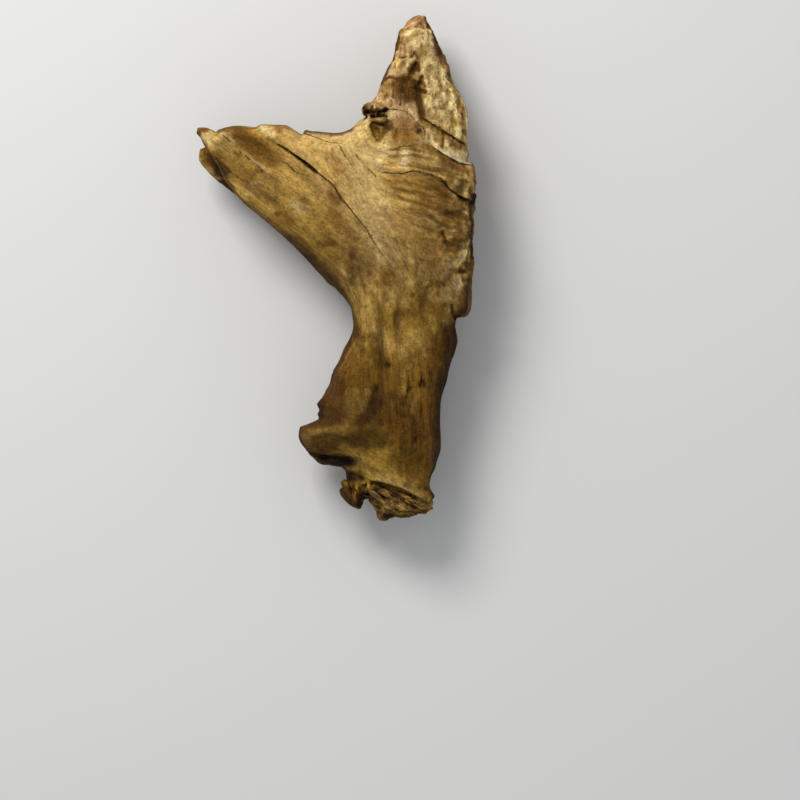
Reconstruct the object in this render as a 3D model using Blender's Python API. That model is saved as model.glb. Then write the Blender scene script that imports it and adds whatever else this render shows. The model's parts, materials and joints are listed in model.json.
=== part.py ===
"""A weathered piece of mangrove wood, lying on its back: a root end, a trunk, a side arm and a pale blade.

Lengths are in millimetres until the mesh is made. +X is to the right and +Y towards the blade's tip in a
view from above, +Z is up, and the piece rests on three small flats at z = 0.
"""

import bmesh
import bpy
import numpy as np

MM = 0.001

# Driving dimensions
LENGTH = 156.7
WIDTH = 87.0
NODE = "mangrove_wood"
CELL = 0.8
TRIANGLES = 11400
ROUND_POWER = 2.3
CARVE_DEPTH = 2.0
BACK_SMOOTHING = 4.0
REST_RADIUS = 9.0

# The outline seen from above, clockwise from the blade's tip. A third value of 1 marks a torn corner.
OUTLINE = [
    (25.3, 78.4), (27.6, 77.7, 1), (27.6, 76.7), (30.0, 73.1), (31.8, 68.6), (34.2, 64.0),
    (35.4, 58.1), (38.0, 53.5), (40.2, 47.9), (40.4, 43.1), (40.1, 40.1), (40.4, 35.8),
    (40.9, 35.1), (40.4, 32.9, 1), (42.3, 31.7, 1), (43.0, 29.4), (42.7, 24.1), (42.3, 23.1, 1),
    (43.1, 22.4, 1), (43.1, 17.7), (43.5, 14.1), (42.7, 8.5), (42.5, 4.2), (41.9, -1.6),
    (41.7, -7.2), (41.2, -13.1), (39.3, -15.1), (37.0, -15.6, 1), (36.3, -18.1), (37.1, -22.6),
    (36.3, -26.1), (35.3, -29.7), (34.1, -34.8), (32.5, -39.1), (32.2, -44.5), (32.1, -48.8),
    (32.3, -55.7), (31.2, -60.1), (29.3, -65.5), (29.0, -68.1), (30.8, -70.7, 1), (29.8, -72.1, 1),
    (30.1, -74.9, 1), (27.9, -76.4), (25.7, -76.3), (22.3, -77.5), (20.3, -77.7), (18.1, -77.2, 1),
    (15.3, -78.4), (13.3, -78.2), (12.2, -75.8), (11.4, -71.6, 1), (8.8, -72.3), (7.3, -74.9, 1),
    (4.6, -74.0), (2.2, -72.1), (0.5, -69.0), (2.7, -65.8), (1.4, -62.1, 1), (-4.2, -62.0, 1),
    (-6.0, -61.1), (-9.4, -56.9), (-11.9, -52.2), (-11.3, -49.3, 1), (-7.8, -48.0), (-5.7, -46.7),
    (-6.2, -45.3, 1), (-5.3, -44.1), (-6.0, -42.1, 1), (-3.2, -38.2), (-1.9, -36.0), (-1.3, -31.6),
    (1.6, -27.3), (3.6, -22.7), (4.8, -18.8), (4.4, -13.4), (3.4, -10.9), (0.6, -7.3),
    (-4.7, -2.5), (-10.1, 3.4), (-15.8, 9.1), (-23.4, 15.5), (-27.6, 18.8), (-32.9, 23.4),
    (-38.2, 27.4), (-41.8, 31.5), (-42.8, 33.2), (-42.5, 36.9), (-40.8, 37.6, 1), (-42.3, 40.6, 1),
    (-43.5, 41.8, 1), (-43.1, 43.4, 1), (-40.0, 43.4), (-37.6, 42.1, 1), (-36.8, 42.9, 1),
    (-31.7, 44.1), (-25.1, 43.4), (-23.7, 44.2), (-17.8, 44.3), (-15.6, 44.1), (-10.7, 41.0, 1),
    (-10.0, 42.8, 1), (-6.3, 42.1), (-0.8, 41.7), (4.2, 42.8), (7.1, 45.6), (8.9, 46.7, 1),
    (8.0, 48.4), (8.2, 50.5, 1), (10.3, 51.0), (12.2, 53.1), (14.4, 58.7), (15.9, 62.1),
    (17.8, 66.0), (18.8, 71.5), (19.1, 72.7, 1), (22.3, 76.7),
]

# Heights along the piece: x, y, front, back, how far in the rounded edge reaches, and where between the
# back (0) and the front (1) the piece is widest.
STATIONS = [
    (25.2, 76.2, 18, 10, 2.0, 0.5), (25.8, 67.5, 23, 9, 3.0, 0.5), (27.3, 58.2, 28, 7, 3.5, 0.5),
    (19.0, 58.2, 26, 9, 4.0, 0.5), (30.4, 48.9, 31, 6, 4.0, 0.6), (12.8, 48.3, 31, 10, 5.0, 0.6),
    (37.6, 38.0, 31, 4, 3.5, 0.7), (22.7, 36.5, 35, 5, 7.0, 0.6), (7.2, 36.5, 34, 9, 8.0, 0.5),
    (-3.7, 33.4, 32, 8, 7.0, 0.5), (-7.7, 21.0, 33, 5, 6.0, 0.4), (-16.1, 36.5, 30, 10, 6.0, 0.5),
    (-23.2, 24.1, 30, 8, 4.5, 0.35), (-30.0, 36.5, 28, 11, 4.5, 0.5), (-38.7, 37.1, 27, 10, 2.5, 0.25),
    (4.1, 13.2, 35, 5, 8.0, 0.35), (22.7, 16.3, 37, 4, 8.0, 0.5), (38.2, 17.9, 34, 6, 3.5, 0.35),
    (5.6, -2.3, 34, 6, 8.0, 0.3), (25.8, -3.8, 37, 4, 8.0, 0.5), (38.8, -5.4, 31, 8, 4.0, 0.45),
    (11.8, -19.3, 34, 5, 9.0, 0.4), (28.9, -22.4, 34, 5, 9.0, 0.5), (8.7, -36.4, 33, 5, 9.0, 0.4),
    (25.8, -39.5, 34, 3, 10.0, 0.5), (-0.6, -41.0, 29, 8, 6.0, 0.4), (4.1, -51.9, 31, 5, 7.0, 0.5),
    (-7.7, -52.8, 28, 8, 4.0, 0.3), (19.6, -55.0, 33, 3, 10.0, 0.5), (4.1, -68.9, 24, 8, 4.0, 0.4),
    (16.5, -68.9, 30, 5, 7.0, 0.5), (27.3, -70.5, 28, 6, 5.0, 0.5), (18.0, -76.7, 25, 9, 3.0, 0.4),
]
STATION_REACH = 10.5

# Limbs as the grain follows them: a centre line, how far its grain rules, its direction and its depth.
LIMBS = {
    "blade": ([(25.2, 76.8), (28.9, 42.7)], 9.0, 96.0, 0.5),
    "arm": ([(-37.8, 36.5), (1.0, 14.8)], 12.0, 145.0, 0.45),
    "curl": ([(19.6, 22.5), (39.7, 16.3)], 9.0, -8.0, 0.4),
    "trunk": ([(11.8, -6.9), (19.0, -34.8), (19.0, -72.0)], 12.0, 95.0, 0.85),
    "nose": ([(-11.4, -52.5), (2.5, -53.4)], 6.0, 172.0, 0.6),
}

# Cracks on the front: points with the half-width and the depth at each.
CRACKS = {
    "long_split": [
        (-18.9, 38.4, 0.5, 1), (-12.6, 34.3, 0.8, 4), (-8.9, 31.4, 1.1, 7), (-6.0, 29.4, 0.8, 2.5),
        (-1.6, 26.0, 1.0, 1.5), (3.4, 19.0, 1.0, 1.4), (10.9, 8.7, 1.0, 1.2), (18.2, -1.6, 0.7, 0.5),
    ],
    "collar_crack": [
        (12.9, 29.7, 0.5, 0.8), (16.7, 28.9, 0.7, 1.4), (20.5, 28.8, 0.8, 1.8), (23.8, 29.6, 0.8, 2.0),
        (29.3, 28.3, 0.9, 2.4), (33.5, 26.0, 0.9, 2.8), (37.0, 22.4, 1.0, 3), (41.5, 19.7, 1.2, 4),
    ],
    "sliver_crack": [(-10.2, 41.8, 0.8, 2), (-5.0, 39.6, 0.5, 1.4), (1.0, 38.2, 0.4, 0.8)],
    "saddle_crack": [(0.8, 37.7, 0.5, 1), (5.1, 30.8, 0.4, 0.8)],
    "centre_crack": [(5.7, 34.9, 0.5, 1), (12.4, 27.0, 0.4, 0.8)],
    "arm_crack": [(-37.6, 33.7, 0.5, 1), (-28.5, 26.4, 0.4, 0.8)],
    "knot_crack": [(15.3, 48.6, 0.6, 1.6), (21.4, 48.1, 0.4, 0.8)],
    "root_crack": [(6.0, -55.9, 0.4, 0.8), (7.7, -59.6, 0.6, 1.6)],
}

# Where one layer of wood ends over the next: x, y and the rise on the left of the line as it is walked,
# and how far behind its edge the layer has sunk back to the common surface.
STEPS = {
    "blade_plate": ([
        (23.6, 61.3, 0.0), (23.0, 56.9, 0.8), (24.9, 52.9, 1.0),
        (26.2, 46.1, 1.3), (29.3, 44.5, 1.4), (34.5, 41.0, 1.5),
        (41.3, 37.1, 1.6),
    ], 9.0),
    "strip": ([
        (26.9, 39.6, 0.0), (32.8, 35.1, 1.4), (38.0, 32.2, 1.7),
        (43.2, 31.5, 1.7),
    ], 7.0),
    "collar": ([
        (14.6, 29.0, 0.0), (20.5, 28.8, 0.3), (29.3, 28.3, 0.7),
        (33.5, 26.0, 1.0), (37.0, 22.4, 1.3), (42.5, 19.4, 1.6),
    ], 6.0),
    "arm_front": ([
        (15.8, 1.4, 0.0), (5.7, 16.2, -0.8), (-1.6, 26.0, -1.2),
        (-8.9, 31.4, -1.6), (-14.5, 36.2, 0.0),
    ], 8.0),
    "cap_patch": ([
        (24.9, 52.6, 0.6), (23.9, 56.9, 1.0), (22.1, 58.8, 1.0),
        (17.1, 59.1, 1.0), (14.3, 56.0, 0.8),
    ], 7.0),
    "arm_lip": ([
        (-25.7, 17.3, 0.0), (-30.1, 21.8, -6.0), (-34.4, 26.8, -8.0),
        (-36.4, 30.9, -9.0), (-39.0, 35.5, -9.0), (-40.9, 37.7, -6.0),
        (-43.6, 40.5, 0.0),
    ], 14.0),
    "side_slot": ([
        (44.1, 22.5, 0.0), (42.3, 20.7, -8.0), (41.4, 18.5, -14.0),
        (41.8, 12.9, -14.0), (41.9, 3.6, -12.0), (44.4, 1.8, 0.0),
    ], 40.0),
    "cleft": ([
        (7.8, -60.5, 0.0), (6.0, -60.1, -3.0), (3.3, -58.5, -8.0),
        (0.5, -57.8, -10.0), (-2.3, -58.2, -10.0), (-5.5, -57.5, -8.0),
        (-8.9, -56.2, 0.0),
    ], 16.0),
    "foot_ledge": ([
        (30.1, -73.6, -2.0), (20.8, -68.6, -3.0), (14.9, -66.7, -3.0),
        (10.3, -65.8, -3.0), (7.2, -64.0, -5.0), (2.9, -62.7, -6.0),
    ], 12.0),
}

# Hollows and swellings of the front: x, y, reach along, reach across, angle of the long way, height.
RELIEF = [
    (10.9, 48.9, 3.6, 2.2, 15, 3.4), (13.7, 44.9, 3.2, 1.2, 5, 2.2), (11.8, 46.7, 2.6, 0.9, 10, -1.6),
    (12.2, 41.1, 3.4, 1.9, 80, -2.6),
    (23.9, 61.6, 2.2, 1.5, 60, -1.3), (26.1, 56.3, 2.6, 1.2, 75, -1.3), (31.4, 67.2, 2.4, 1.3, -50, -1.2),
    (33.9, 63.1, 2.0, 1.0, -60, -1.0), (24.2, 65.9, 1.6, 1.1, 0, -0.6), (20.8, 66.9, 3.2, 1.6, 70, 0.6),
    (29.5, 52.0, 4.5, 2.5, 85, 0.6), (25.5, 42.1, 1.6, 1.2, 0, -1.2), (34.8, 39.6, 5.0, 1.4, -32, 0.5),
    (20.8, 41.1, 4.2, 3.4, 0, -0.7), (20.8, 33.7, 1.8, 2.4, 0, 0.7), (39.4, 5.2, 1.5, 2.8, 0, 1.2),
    (38.2, 11.4, 2.2, 2.6, 0, 0.9), (33.2, 9.2, 1.1, 2.2, 20, -1.0), (38.8, -0.4, 2.4, 1.2, 40, -1.0),
    (39.7, -4.1, 1.0, 1.6, 0, -0.9), (32.9, -6.0, 2.4, 1.4, 60, -0.8), (27.3, -10.0, 6.0, 2.0, 60, -0.6),
    (37.3, 19.1, 4.0, 1.2, -42, 0.9), (31.4, -22.7, 1.8, 3.4, 0, -1.3), (34.8, -23.0, 2.4, 4.2, 0, 0.8),
    (-3.0, 7.0, 2.6, 1.1, 0, -0.7), (-18.5, 16.3, 1.4, 0.9, 0, -0.6), (-26.6, 38.0, 6.0, 2.4, -42, -0.7),
    (-26.9, 33.1, 5.5, 1.2, -40, 0.7), (-11.4, 18.5, 4.0, 2.4, -30, 0.6), (-13.0, 29.7, 7.0, 1.6, -35, -0.5),
    (15.9, -30.5, 1.0, 1.0, 0, -1.0), (26.1, -36.4, 1.4, 1.2, 60, -1.0), (22.4, -38.2, 1.0, 1.2, 0, -0.9),
    (24.6, -53.4, 0.9, 1.1, 0, -1.0), (14.0, -48.8, 0.8, 0.8, 0, -0.8), (9.4, -43.5, 7.0, 1.8, 62, -0.9),
    (3.5, -32.3, 7.0, 1.6, 65, 0.7), (17.1, -42.6, 9.0, 1.5, 86, 0.6), (29.2, -41.0, 9.0, 1.3, 92, 0.5),
    (-3.7, -50.6, 6.0, 1.4, 12, 1.2), (-0.6, -54.3, 5.0, 2.2, 5, -1.1), (-5.2, -41.0, 2.2, 1.6, 60, 0.8),
    (-7.4, -55.3, 3.5, 1.6, -50, 0.7), (10.9, -61.2, 6.0, 1.6, -25, 0.9), (21.1, -65.2, 9.0, 1.6, -28, 1.1),
    (17.1, -7.5, 7.0, 4.0, 40, 0.7), (4.7, -10.0, 6.0, 2.4, 70, -0.6), (2.5, 27.2, 7.0, 3.0, -60, 0.5),
]

# The torn hollow behind the arm's front lip.
ARM_LIP = [(-41.5, 38.7), (-39.0, 35.5), (-36.4, 30.9), (-34.4, 26.8), (-30.1, 21.8), (-26.9, 18.5)]
ARM_HOLLOW = [(-41.2, 35.6, 18), (-39.0, 32.1, 18), (-36.4, 28.1, 18), (-33.1, 24.4, 17), (-30.0, 21.1, 16)]
ARM_HOLLOW_RADIUS = [2.6, 3.8, 3.4, 2.4, 1.2]

# The dark slot between the front wood and a thin layer behind it on the right.
SIDE_SLOT = [(42.5, 20.1, 22), (41.9, 16.3, 22), (41.9, 10.1, 22), (42.2, 4.2, 22)]
SIDE_SLOT_RADIUS = [0.9, 1.5, 1.5, 0.9]

# The cleft under the nose, the hollow behind it and the arch between the two feet.
CLEFT = [(-6.4, -58.1, 20), (-2.4, -58.7, 21), (2.5, -59.3, 24), (7.2, -60.5, 30)]
CLEFT_RADIUS = [1.6, 2.4, 2.0, 1.0]
UNDER_NOSE = [(-6.4, -61.5, 25), (-2.7, -61.8, 25), (1.6, -62.1, 26)]
UNDER_NOSE_RADIUS = [3.0, 3.6, 2.6]
ARCH = [(9.7, -75.7, 18), (9.7, -72.6, 17), (9.7, -70.5, 20), (10.0, -69.5, 26)]
ARCH_RADIUS = [2.6, 2.4, 1.9, 1.5]
UNDER_FOOT = [(14.6, -78.5, 24), (16.5, -77.3, 22), (18.4, -77.6, 20)]
UNDER_FOOT_RADIUS = [2.0, 1.8, 1.4]

# The root end is frayed along its lower edge: a line through the frayed wood, how wide it is, and the way
# its fibres run. Stout fibres and open gaps are named one by one: start, end and radius.
FRAY_LINE = [(10.9, -70.2), (18.0, -73.6), (28.9, -75.7)]
FRAY_REACH = 4.5
FRAY_ANGLE = -30.0
FRAY_DEPTH = 1.5
FIBRES = [
    ((11.5, -67.7, 26), (24.6, -75.7, 22), 0.9), ((10.6, -69.5, 24), (19.6, -77.0, 20), 0.9),
    ((10.9, -72.0, 21), (14.6, -77.6, 18), 1.1), ((2.5, -66.7, 23), (6.6, -73.9, 19), 1.2),
]
FIBRE_GAPS = [
    ((12.8, -68.3, 28), (14.3, -68.9, 22), 1.3), ((17.1, -72.0, 26), (20.8, -74.2, 22), 1.1),
    ((11.5, -71.4, 24), (14.0, -74.5, 20), 1.0), ((22.1, -72.9, 26), (25.8, -74.8, 23), 0.9),
    ((7.5, -61.5, 28), (9.1, -68.9, 22), 1.2),
]

# The back: long channels with the half-width and depth at each point, and three low places to rest on with
# the drop to each.
BACK_CHANNELS = [
    [(23.3, 53.5, 1.4, 0.6), (19.6, 30.3, 2.4, 1.8), (20.8, 10.1, 2.0, 2.2), (15.9, -10.0, 2.8, 2.6),
     (12.8, -30.2, 2.2, 2.0), (15.3, -53.4, 2.6, 0.6)],
    [(30.8, 24.1, 1.2, 0.4), (28.9, 8.6, 2.0, 1.8), (30.8, -13.1, 1.6, 2.2), (26.4, -41.0, 2.0, 0.6)],
    [(-32.5, 34.0, 1.2, 0.6), (-20.1, 22.2, 2.2, 1.8), (-8.9, 14.8, 1.8, 2.2), (3.5, -0.1, 2.0, 0.8)],
    [(-23.2, 36.5, 1.0, 0.6), (-5.8, 30.9, 2.4, 1.6), (7.8, 16.3, 1.4, 0.6)],
    [(6.0, -25.5, 1.4, 0.6), (2.9, -39.5, 2.4, 1.8), (4.7, -53.4, 1.4, 0.8)],
]
RESTS = [(-4.6, 21.9, 8.4), (34.5, 35.9, 8.0), (20.2, -60.2, 6.0)]


def curve_through(points, step=1.2):
    """A closed Catmull-Rom curve through the outline, straight into and out of each torn corner."""
    places = np.array([point[:2] for point in points], float)
    torn = [len(point) > 2 for point in points]
    count = len(places)
    curve = []
    for i in range(count):
        here, after = places[i], places[(i + 1) % count]
        before = here if torn[i] else places[i - 1]
        beyond = after if torn[(i + 1) % count] else places[(i + 2) % count]
        pieces = max(1, int(np.hypot(*(after - here)) / step))
        for t in np.arange(pieces) / pieces:
            curve.append(
                0.5 * (2 * here + (after - before) * t + (2 * before - 5 * here + 4 * after - beyond) * t**2
                       + (3 * here - before - 3 * after + beyond) * t**3)
            )
    return np.array(curve)


def near_line(x, y, line):
    """Distance to a polyline, how far along it the nearest spot is, and which side of it (left is +1)."""
    shape = np.broadcast(x, y).shape
    gap = np.full(shape, 1e9)
    along = np.zeros(shape)
    side = np.zeros(shape)
    for i, (start, end) in enumerate(zip(line, line[1:])):
        dx, dy = end[0] - start[0], end[1] - start[1]
        t = np.clip(((x - start[0]) * dx + (y - start[1]) * dy) / (dx * dx + dy * dy), 0, 1)
        here = np.hypot(x - start[0] - t * dx, y - start[1] - t * dy)
        nearer = here < gap
        gap = np.where(nearer, here, gap)
        along = np.where(nearer, i + t, along)
        side = np.where(nearer, np.sign(dx * (y - start[1]) - dy * (x - start[0])), side)
    return gap, along, side


def near_tube(x, y, z, line, radii):
    """Signed distance to a tube along a 3-D polyline whose radius changes from point to point."""
    gap = None
    for start, end, first, last in zip(line, line[1:], radii, radii[1:]):
        way = np.subtract(end, start)
        t = ((x - start[0]) * way[0] + (y - start[1]) * way[1] + (z - start[2]) * way[2]) / (way @ way)
        t = np.clip(t, 0, 1)
        off = np.sqrt((x - start[0] - t * way[0]) ** 2 + (y - start[1] - t * way[1]) ** 2
                      + (z - start[2] - t * way[2]) ** 2)
        here = off - (first + (last - first) * t)
        gap = here if gap is None else np.minimum(gap, here)
    return gap


def smooth_max(a, b, blend):
    h = np.clip(0.5 + 0.5 * (a - b) / blend, 0, 1)
    return b + (a - b) * h + blend * h * (1 - h)


def smooth_min(a, b, blend):
    return -smooth_max(-a, -b, blend)


def bump(x, y, spot):
    """A soft oval swelling: x, y, reach along, reach across, angle and height."""
    cx, cy, along, across, angle, height = spot
    turn = np.radians(angle)
    u = (x - cx) * np.cos(turn) + (y - cy) * np.sin(turn)
    v = (y - cy) * np.cos(turn) - (x - cx) * np.sin(turn)
    return height * np.exp(-((u / along) ** 2) - (v / across) ** 2)


class Noise:
    """Smooth repeatable noise between about -1 and 1 on a lattice of fixed values."""

    def __init__(self, seed, size=48):
        self.values = np.random.default_rng(seed).uniform(-1, 1, (size, size, size))
        self.size = size

    def at(self, x, y, z):
        lows, parts = [], []
        for c in np.broadcast_arrays(x, y, z):
            low = np.floor(c)
            t = c - low
            lows.append(low.astype(int) % self.size)
            parts.append(t * t * (3 - 2 * t))
        total = 0
        for corner in range(8):
            index, weight = [], 1
            for axis in range(3):
                up = corner >> axis & 1
                index.append((lows[axis] + up) % self.size)
                weight = weight * (parts[axis] if up else 1 - parts[axis])
            total = total + weight * self.values[tuple(index)]
        return total


def sliding_mean(values, reach, axis):
    """Each value replaced by the mean of those within reach of it along one axis."""
    padding = [(0, 0), (0, 0)]
    padding[axis] = (reach + 1, reach)
    sums = np.cumsum(np.pad(values, padding, mode="edge"), axis=axis)
    count = values.shape[axis]
    high = np.take(sums, np.arange(count) + 2 * reach + 1, axis=axis)
    low = np.take(sums, np.arange(count), axis=axis)
    return (high - low) / (2 * reach + 1)


class Grid:
    """A fine flat grid that holds the signed distance to the outline."""

    def __init__(self, step=0.25, margin=4.0):
        curve = curve_through(OUTLINE)
        self.low = curve.min(axis=0) - margin
        self.step = step
        shape = np.ceil((curve.max(axis=0) + margin - self.low) / step).astype(int) + 1
        x = self.low[0] + step * np.arange(shape[0])[:, None]
        y = self.low[1] + step * np.arange(shape[1])[None, :]
        closed = np.vstack([curve, curve[:1]])
        gap, _, _ = near_line(x, y, closed)
        inside = np.zeros(gap.shape, bool)
        for (ax, ay), (bx, by) in zip(closed, closed[1:]):
            if ay != by:
                crosses = (ay > y) != (by > y)
                inside ^= crosses & (x < ax + (y - ay) * (bx - ax) / (by - ay))
        self.depth = np.where(inside, gap, -gap)
        self.smooth_depth = self.depth
        reach = int(BACK_SMOOTHING / step)
        for _ in range(2):
            for axis in (0, 1):
                self.smooth_depth = sliding_mean(self.smooth_depth, reach, axis)

    def inside(self, x, y, depth):
        """How far inside the outline each (x, y) lies, negative outside, read from a grid of depths."""
        u = np.clip((x - self.low[0]) / self.step, 0, self.depth.shape[0] - 1.001)
        v = np.clip((y - self.low[1]) / self.step, 0, self.depth.shape[1] - 1.001)
        u, v = np.broadcast_arrays(u, v)
        i, j = u.astype(int), v.astype(int)
        s, t = u - i, v - j
        d = depth
        return (d[i, j] * (1 - s) * (1 - t) + d[i + 1, j] * s * (1 - t)
                + d[i, j + 1] * (1 - s) * t + d[i + 1, j + 1] * s * t)


def heights(x, y):
    """Front, back, reach of the rounded edge and widest level at each (x, y), from the stations round it."""
    total = 0
    sums = [0, 0, 0, 0]
    for sx, sy, *values in STATIONS:
        weight = np.exp(-((x - sx) ** 2 + (y - sy) ** 2) / STATION_REACH**2) + 1e-9
        total = total + weight
        sums = [s + weight * value for s, value in zip(sums, values)]
    return [s / total for s in sums]


def step_height(x, y, line, reach):
    """The rise of a layer on the left of its edge, fading out behind it."""
    gap, along, side = near_line(x, y, line)
    signed = gap * side
    rise = np.interp(along, range(len(line)), [point[2] for point in line])
    return rise * np.clip(signed / 0.4 + 0.5, 0, 1) * np.clip(1 - signed / reach, 0, 1)


def grain_relief(x, y, z, noise):
    """Ridges and furrows along the grain of each limb."""
    total, relief = 0, 0
    for line, reach, angle, height in LIMBS.values():
        gap, _, _ = near_line(x, y, line)
        weight = np.exp(-((gap / reach) ** 2)) + 1e-6
        turn = np.radians(angle)
        along = x * np.cos(turn) + y * np.sin(turn)
        across = y * np.cos(turn) - x * np.sin(turn)
        coarse = noise.at(along / 17 + 3, across / 2.9, z / 3.6)
        fine = noise.at(along / 8, across / 1.3 + 9, z / 1.7)
        relief = relief + weight * height * (0.7 * coarse + 0.3 * fine)
        total = total + weight
    return relief / total


def fray(x, y, z, noise):
    """Ragged gaps between the fibres at the root end."""
    gap, _, _ = near_line(x, y, FRAY_LINE)
    turn = np.radians(FRAY_ANGLE)
    along = x * np.cos(turn) + y * np.sin(turn)
    across = y * np.cos(turn) - x * np.sin(turn)
    gaps = noise.at(along / 7, across / 1.7 + 4, z / 1.9)
    return FRAY_DEPTH * np.exp(-((gap / FRAY_REACH) ** 4)) * np.clip(gaps + 0.1, 0, None)


def add_front_forms(x, y, front):
    """The front surface with its layers, hollows and swellings."""
    for line, reach in STEPS.values():
        front = front + step_height(x, y, line, reach)
    for spot in RELIEF:
        front = front + bump(x, y, spot)
    return front


def add_back_forms(x, y, back):
    """The back surface with its channels and its three low places."""
    for line in BACK_CHANNELS:
        gap, along, _ = near_line(x, y, line)
        width = np.interp(along, range(len(line)), [point[2] for point in line])
        depth = np.interp(along, range(len(line)), [point[3] for point in line])
        back = back + depth * np.exp(-((gap / width) ** 2))
    for cx, cy, drop in RESTS:
        back = back - drop * np.exp(-(((x - cx) ** 2 + (y - cy) ** 2) / REST_RADIUS**2))
    return back


def rounded(reach_in, reach_up, depth, below):
    """Below zero inside an edge that is rounded over reach_in sideways and reach_up in height."""
    u = np.clip(1 - depth / reach_in, 0, None)
    v = np.clip(1 - below / reach_up, 0, None)
    size = (u**ROUND_POWER + v**ROUND_POWER) ** (1 / ROUND_POWER) - 1
    # Deep inside, the plain distance keeps the value falling
    return np.where(size > -0.999, size * np.minimum(reach_in, reach_up), -np.minimum(depth, below))


def wood(x, y, z, grid, noise):
    """Negative inside the wood and positive outside it, near enough a distance in millimetres."""
    depth = grid.inside(x, y, grid.depth)
    smooth_depth = np.minimum(depth, grid.inside(x, y, grid.smooth_depth) - 0.3)
    plain_front, plain_back, rim, widest = heights(x, y)
    front = add_front_forms(x, y, plain_front)
    back = add_back_forms(x, y, plain_back)
    thick = np.clip(plain_front - plain_back, 3, None)
    level = plain_back + widest * thick
    behind = np.clip((level - z) / thick * 4 - 0.2, 0, 1)
    depth = depth + (smooth_depth - depth) * behind
    carve = CARVE_DEPTH * (0.5 + 0.5 * noise.at(x / 11, y / 11, z / 8 + 5))
    depth = depth - carve * np.clip(np.abs(z - level) / thick * 3 - 0.4, 0, 1)
    body = np.maximum(
        rounded(rim, (1 - widest) * thick, depth, front - z),
        rounded(1.5 * rim, widest * thick, depth, z - back),
    )
    body = body + grain_relief(x, y, z, noise)
    body = body + fray(x, y, z, noise)
    for line in CRACKS.values():
        gap, along, _ = near_line(x, y, line)
        width = np.interp(along, range(len(line)), [point[2] for point in line])
        deep = np.interp(along, range(len(line)), [point[3] for point in line])
        slot = (np.sqrt((gap / width) ** 2 + ((z - front + 0.3) / deep) ** 2) - 1) * width
        body = np.maximum(body, -slot)
    for line, radii in [
        (ARM_HOLLOW, ARM_HOLLOW_RADIUS), (SIDE_SLOT, SIDE_SLOT_RADIUS), (CLEFT, CLEFT_RADIUS),
        (UNDER_NOSE, UNDER_NOSE_RADIUS), (ARCH, ARCH_RADIUS), (UNDER_FOOT, UNDER_FOOT_RADIUS),
    ]:
        body = smooth_max(body, -near_tube(x, y, z, line, radii), 0.5)
    for start, end, radius in FIBRE_GAPS:
        body = smooth_max(body, -near_tube(x, y, z, [start, end], [radius, radius * 0.6]), 0.3)
    for start, end, radius in FIBRES:
        body = smooth_min(body, near_tube(x, y, z, [start, end], [radius, radius * 0.5]), 0.4)
    return np.maximum(body, -z)


def surface_of(field, low, cell):
    """Points and four-sided faces of the surface where a 3-D array changes sign, one point to a cell."""
    inside = field < 0
    cells = tuple(n - 1 for n in field.shape)
    corners = [(i, j, k) for i in (0, 1) for j in (0, 1) for k in (0, 1)]

    def corner(array, at):
        return array[tuple(slice(a, a + n) for a, n in zip(at, cells))]

    filled = sum(corner(inside, at).astype(np.int8) for at in corners)
    mixed = (filled > 0) & (filled < 8)
    number = np.full(cells, -1)
    number[mixed] = np.arange(mixed.sum())
    base = np.argwhere(mixed)
    total = np.zeros((len(base), 3))
    hits = np.zeros(len(base))
    for at in corners:
        for axis in range(3):
            if at[axis]:
                continue
            other = tuple(1 if a == axis else b for a, b in enumerate(at))
            first = corner(field, at)[mixed]
            last = corner(field, other)[mixed]
            cut = (first < 0) != (last < 0)
            t = first[cut] / (first[cut] - last[cut])
            spot = np.tile(np.array(at, float), (cut.sum(), 1))
            spot[:, axis] += t
            total[cut] += spot
            hits[cut] += 1
    points = low + cell * (base + total / hits[:, None])
    faces = []
    for axis in range(3):
        u, v = [a for a in range(3) if a != axis]
        ends = [slice(None)] * 3
        starts = [slice(None)] * 3
        ends[axis] = slice(1, None)
        starts[axis] = slice(None, -1)
        for other in (u, v):
            ends[other] = starts[other] = slice(1, -1)
        first, last = inside[tuple(starts)], inside[tuple(ends)]
        for here, turned in ((first & ~last, axis == 1), (last & ~first, axis != 1)):
            at = np.argwhere(here)
            at[:, u] += 1
            at[:, v] += 1
            ring = []
            for du, dv in ((-1, -1), (0, -1), (0, 0), (-1, 0)):
                spot = at.copy()
                spot[:, u] += du
                spot[:, v] += dv
                ring.append(number[tuple(spot.T)])
            ring = np.array(ring).T
            faces.append(ring[:, ::-1] if turned else ring)
    return points, np.vstack(faces)


def wood_mesh():
    """The closed mesh of the whole piece, in metres."""
    grid = Grid()
    noise = Noise(seed=11)
    low = np.array([-WIDTH / 2 - 3, -LENGTH / 2 - 3, -2.0])
    high = np.array([WIDTH / 2 + 3, LENGTH / 2 + 3, 44.0])
    x, y, z = [a + CELL * np.arange(int((b - a) / CELL) + 2) for a, b in zip(low, high)]
    field = wood(x[:, None, None], y[None, :, None], z[None, None, :], grid, noise)
    points, faces = surface_of(field, low, CELL)
    mesh = bpy.data.meshes.new(NODE)
    mesh.from_pydata((points * MM).tolist(), [], faces.tolist())
    return mesh


def largest_piece(mesh):
    """Keeps the piece with the most faces, and drops crumbs that the cutting left loose."""
    bm = bmesh.new()
    bm.from_mesh(mesh)
    left = set(bm.verts)
    pieces = []
    while left:
        seed = left.pop()
        group, edge = {seed}, [seed]
        while edge:
            for link in edge.pop().link_edges:
                for vert in link.verts:
                    if vert in left:
                        left.remove(vert)
                        group.add(vert)
                        edge.append(vert)
        pieces.append(group)
    keep = max(pieces, key=len)
    bmesh.ops.delete(bm, geom=[vert for vert in bm.verts if vert not in keep], context="VERTS")
    bm.to_mesh(mesh)
    bm.free()


def evaluated_copy(obj):
    mesh = bpy.data.meshes.new_from_object(obj.evaluated_get(bpy.context.evaluated_depsgraph_get()))
    obj.modifiers.clear()
    return mesh


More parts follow.
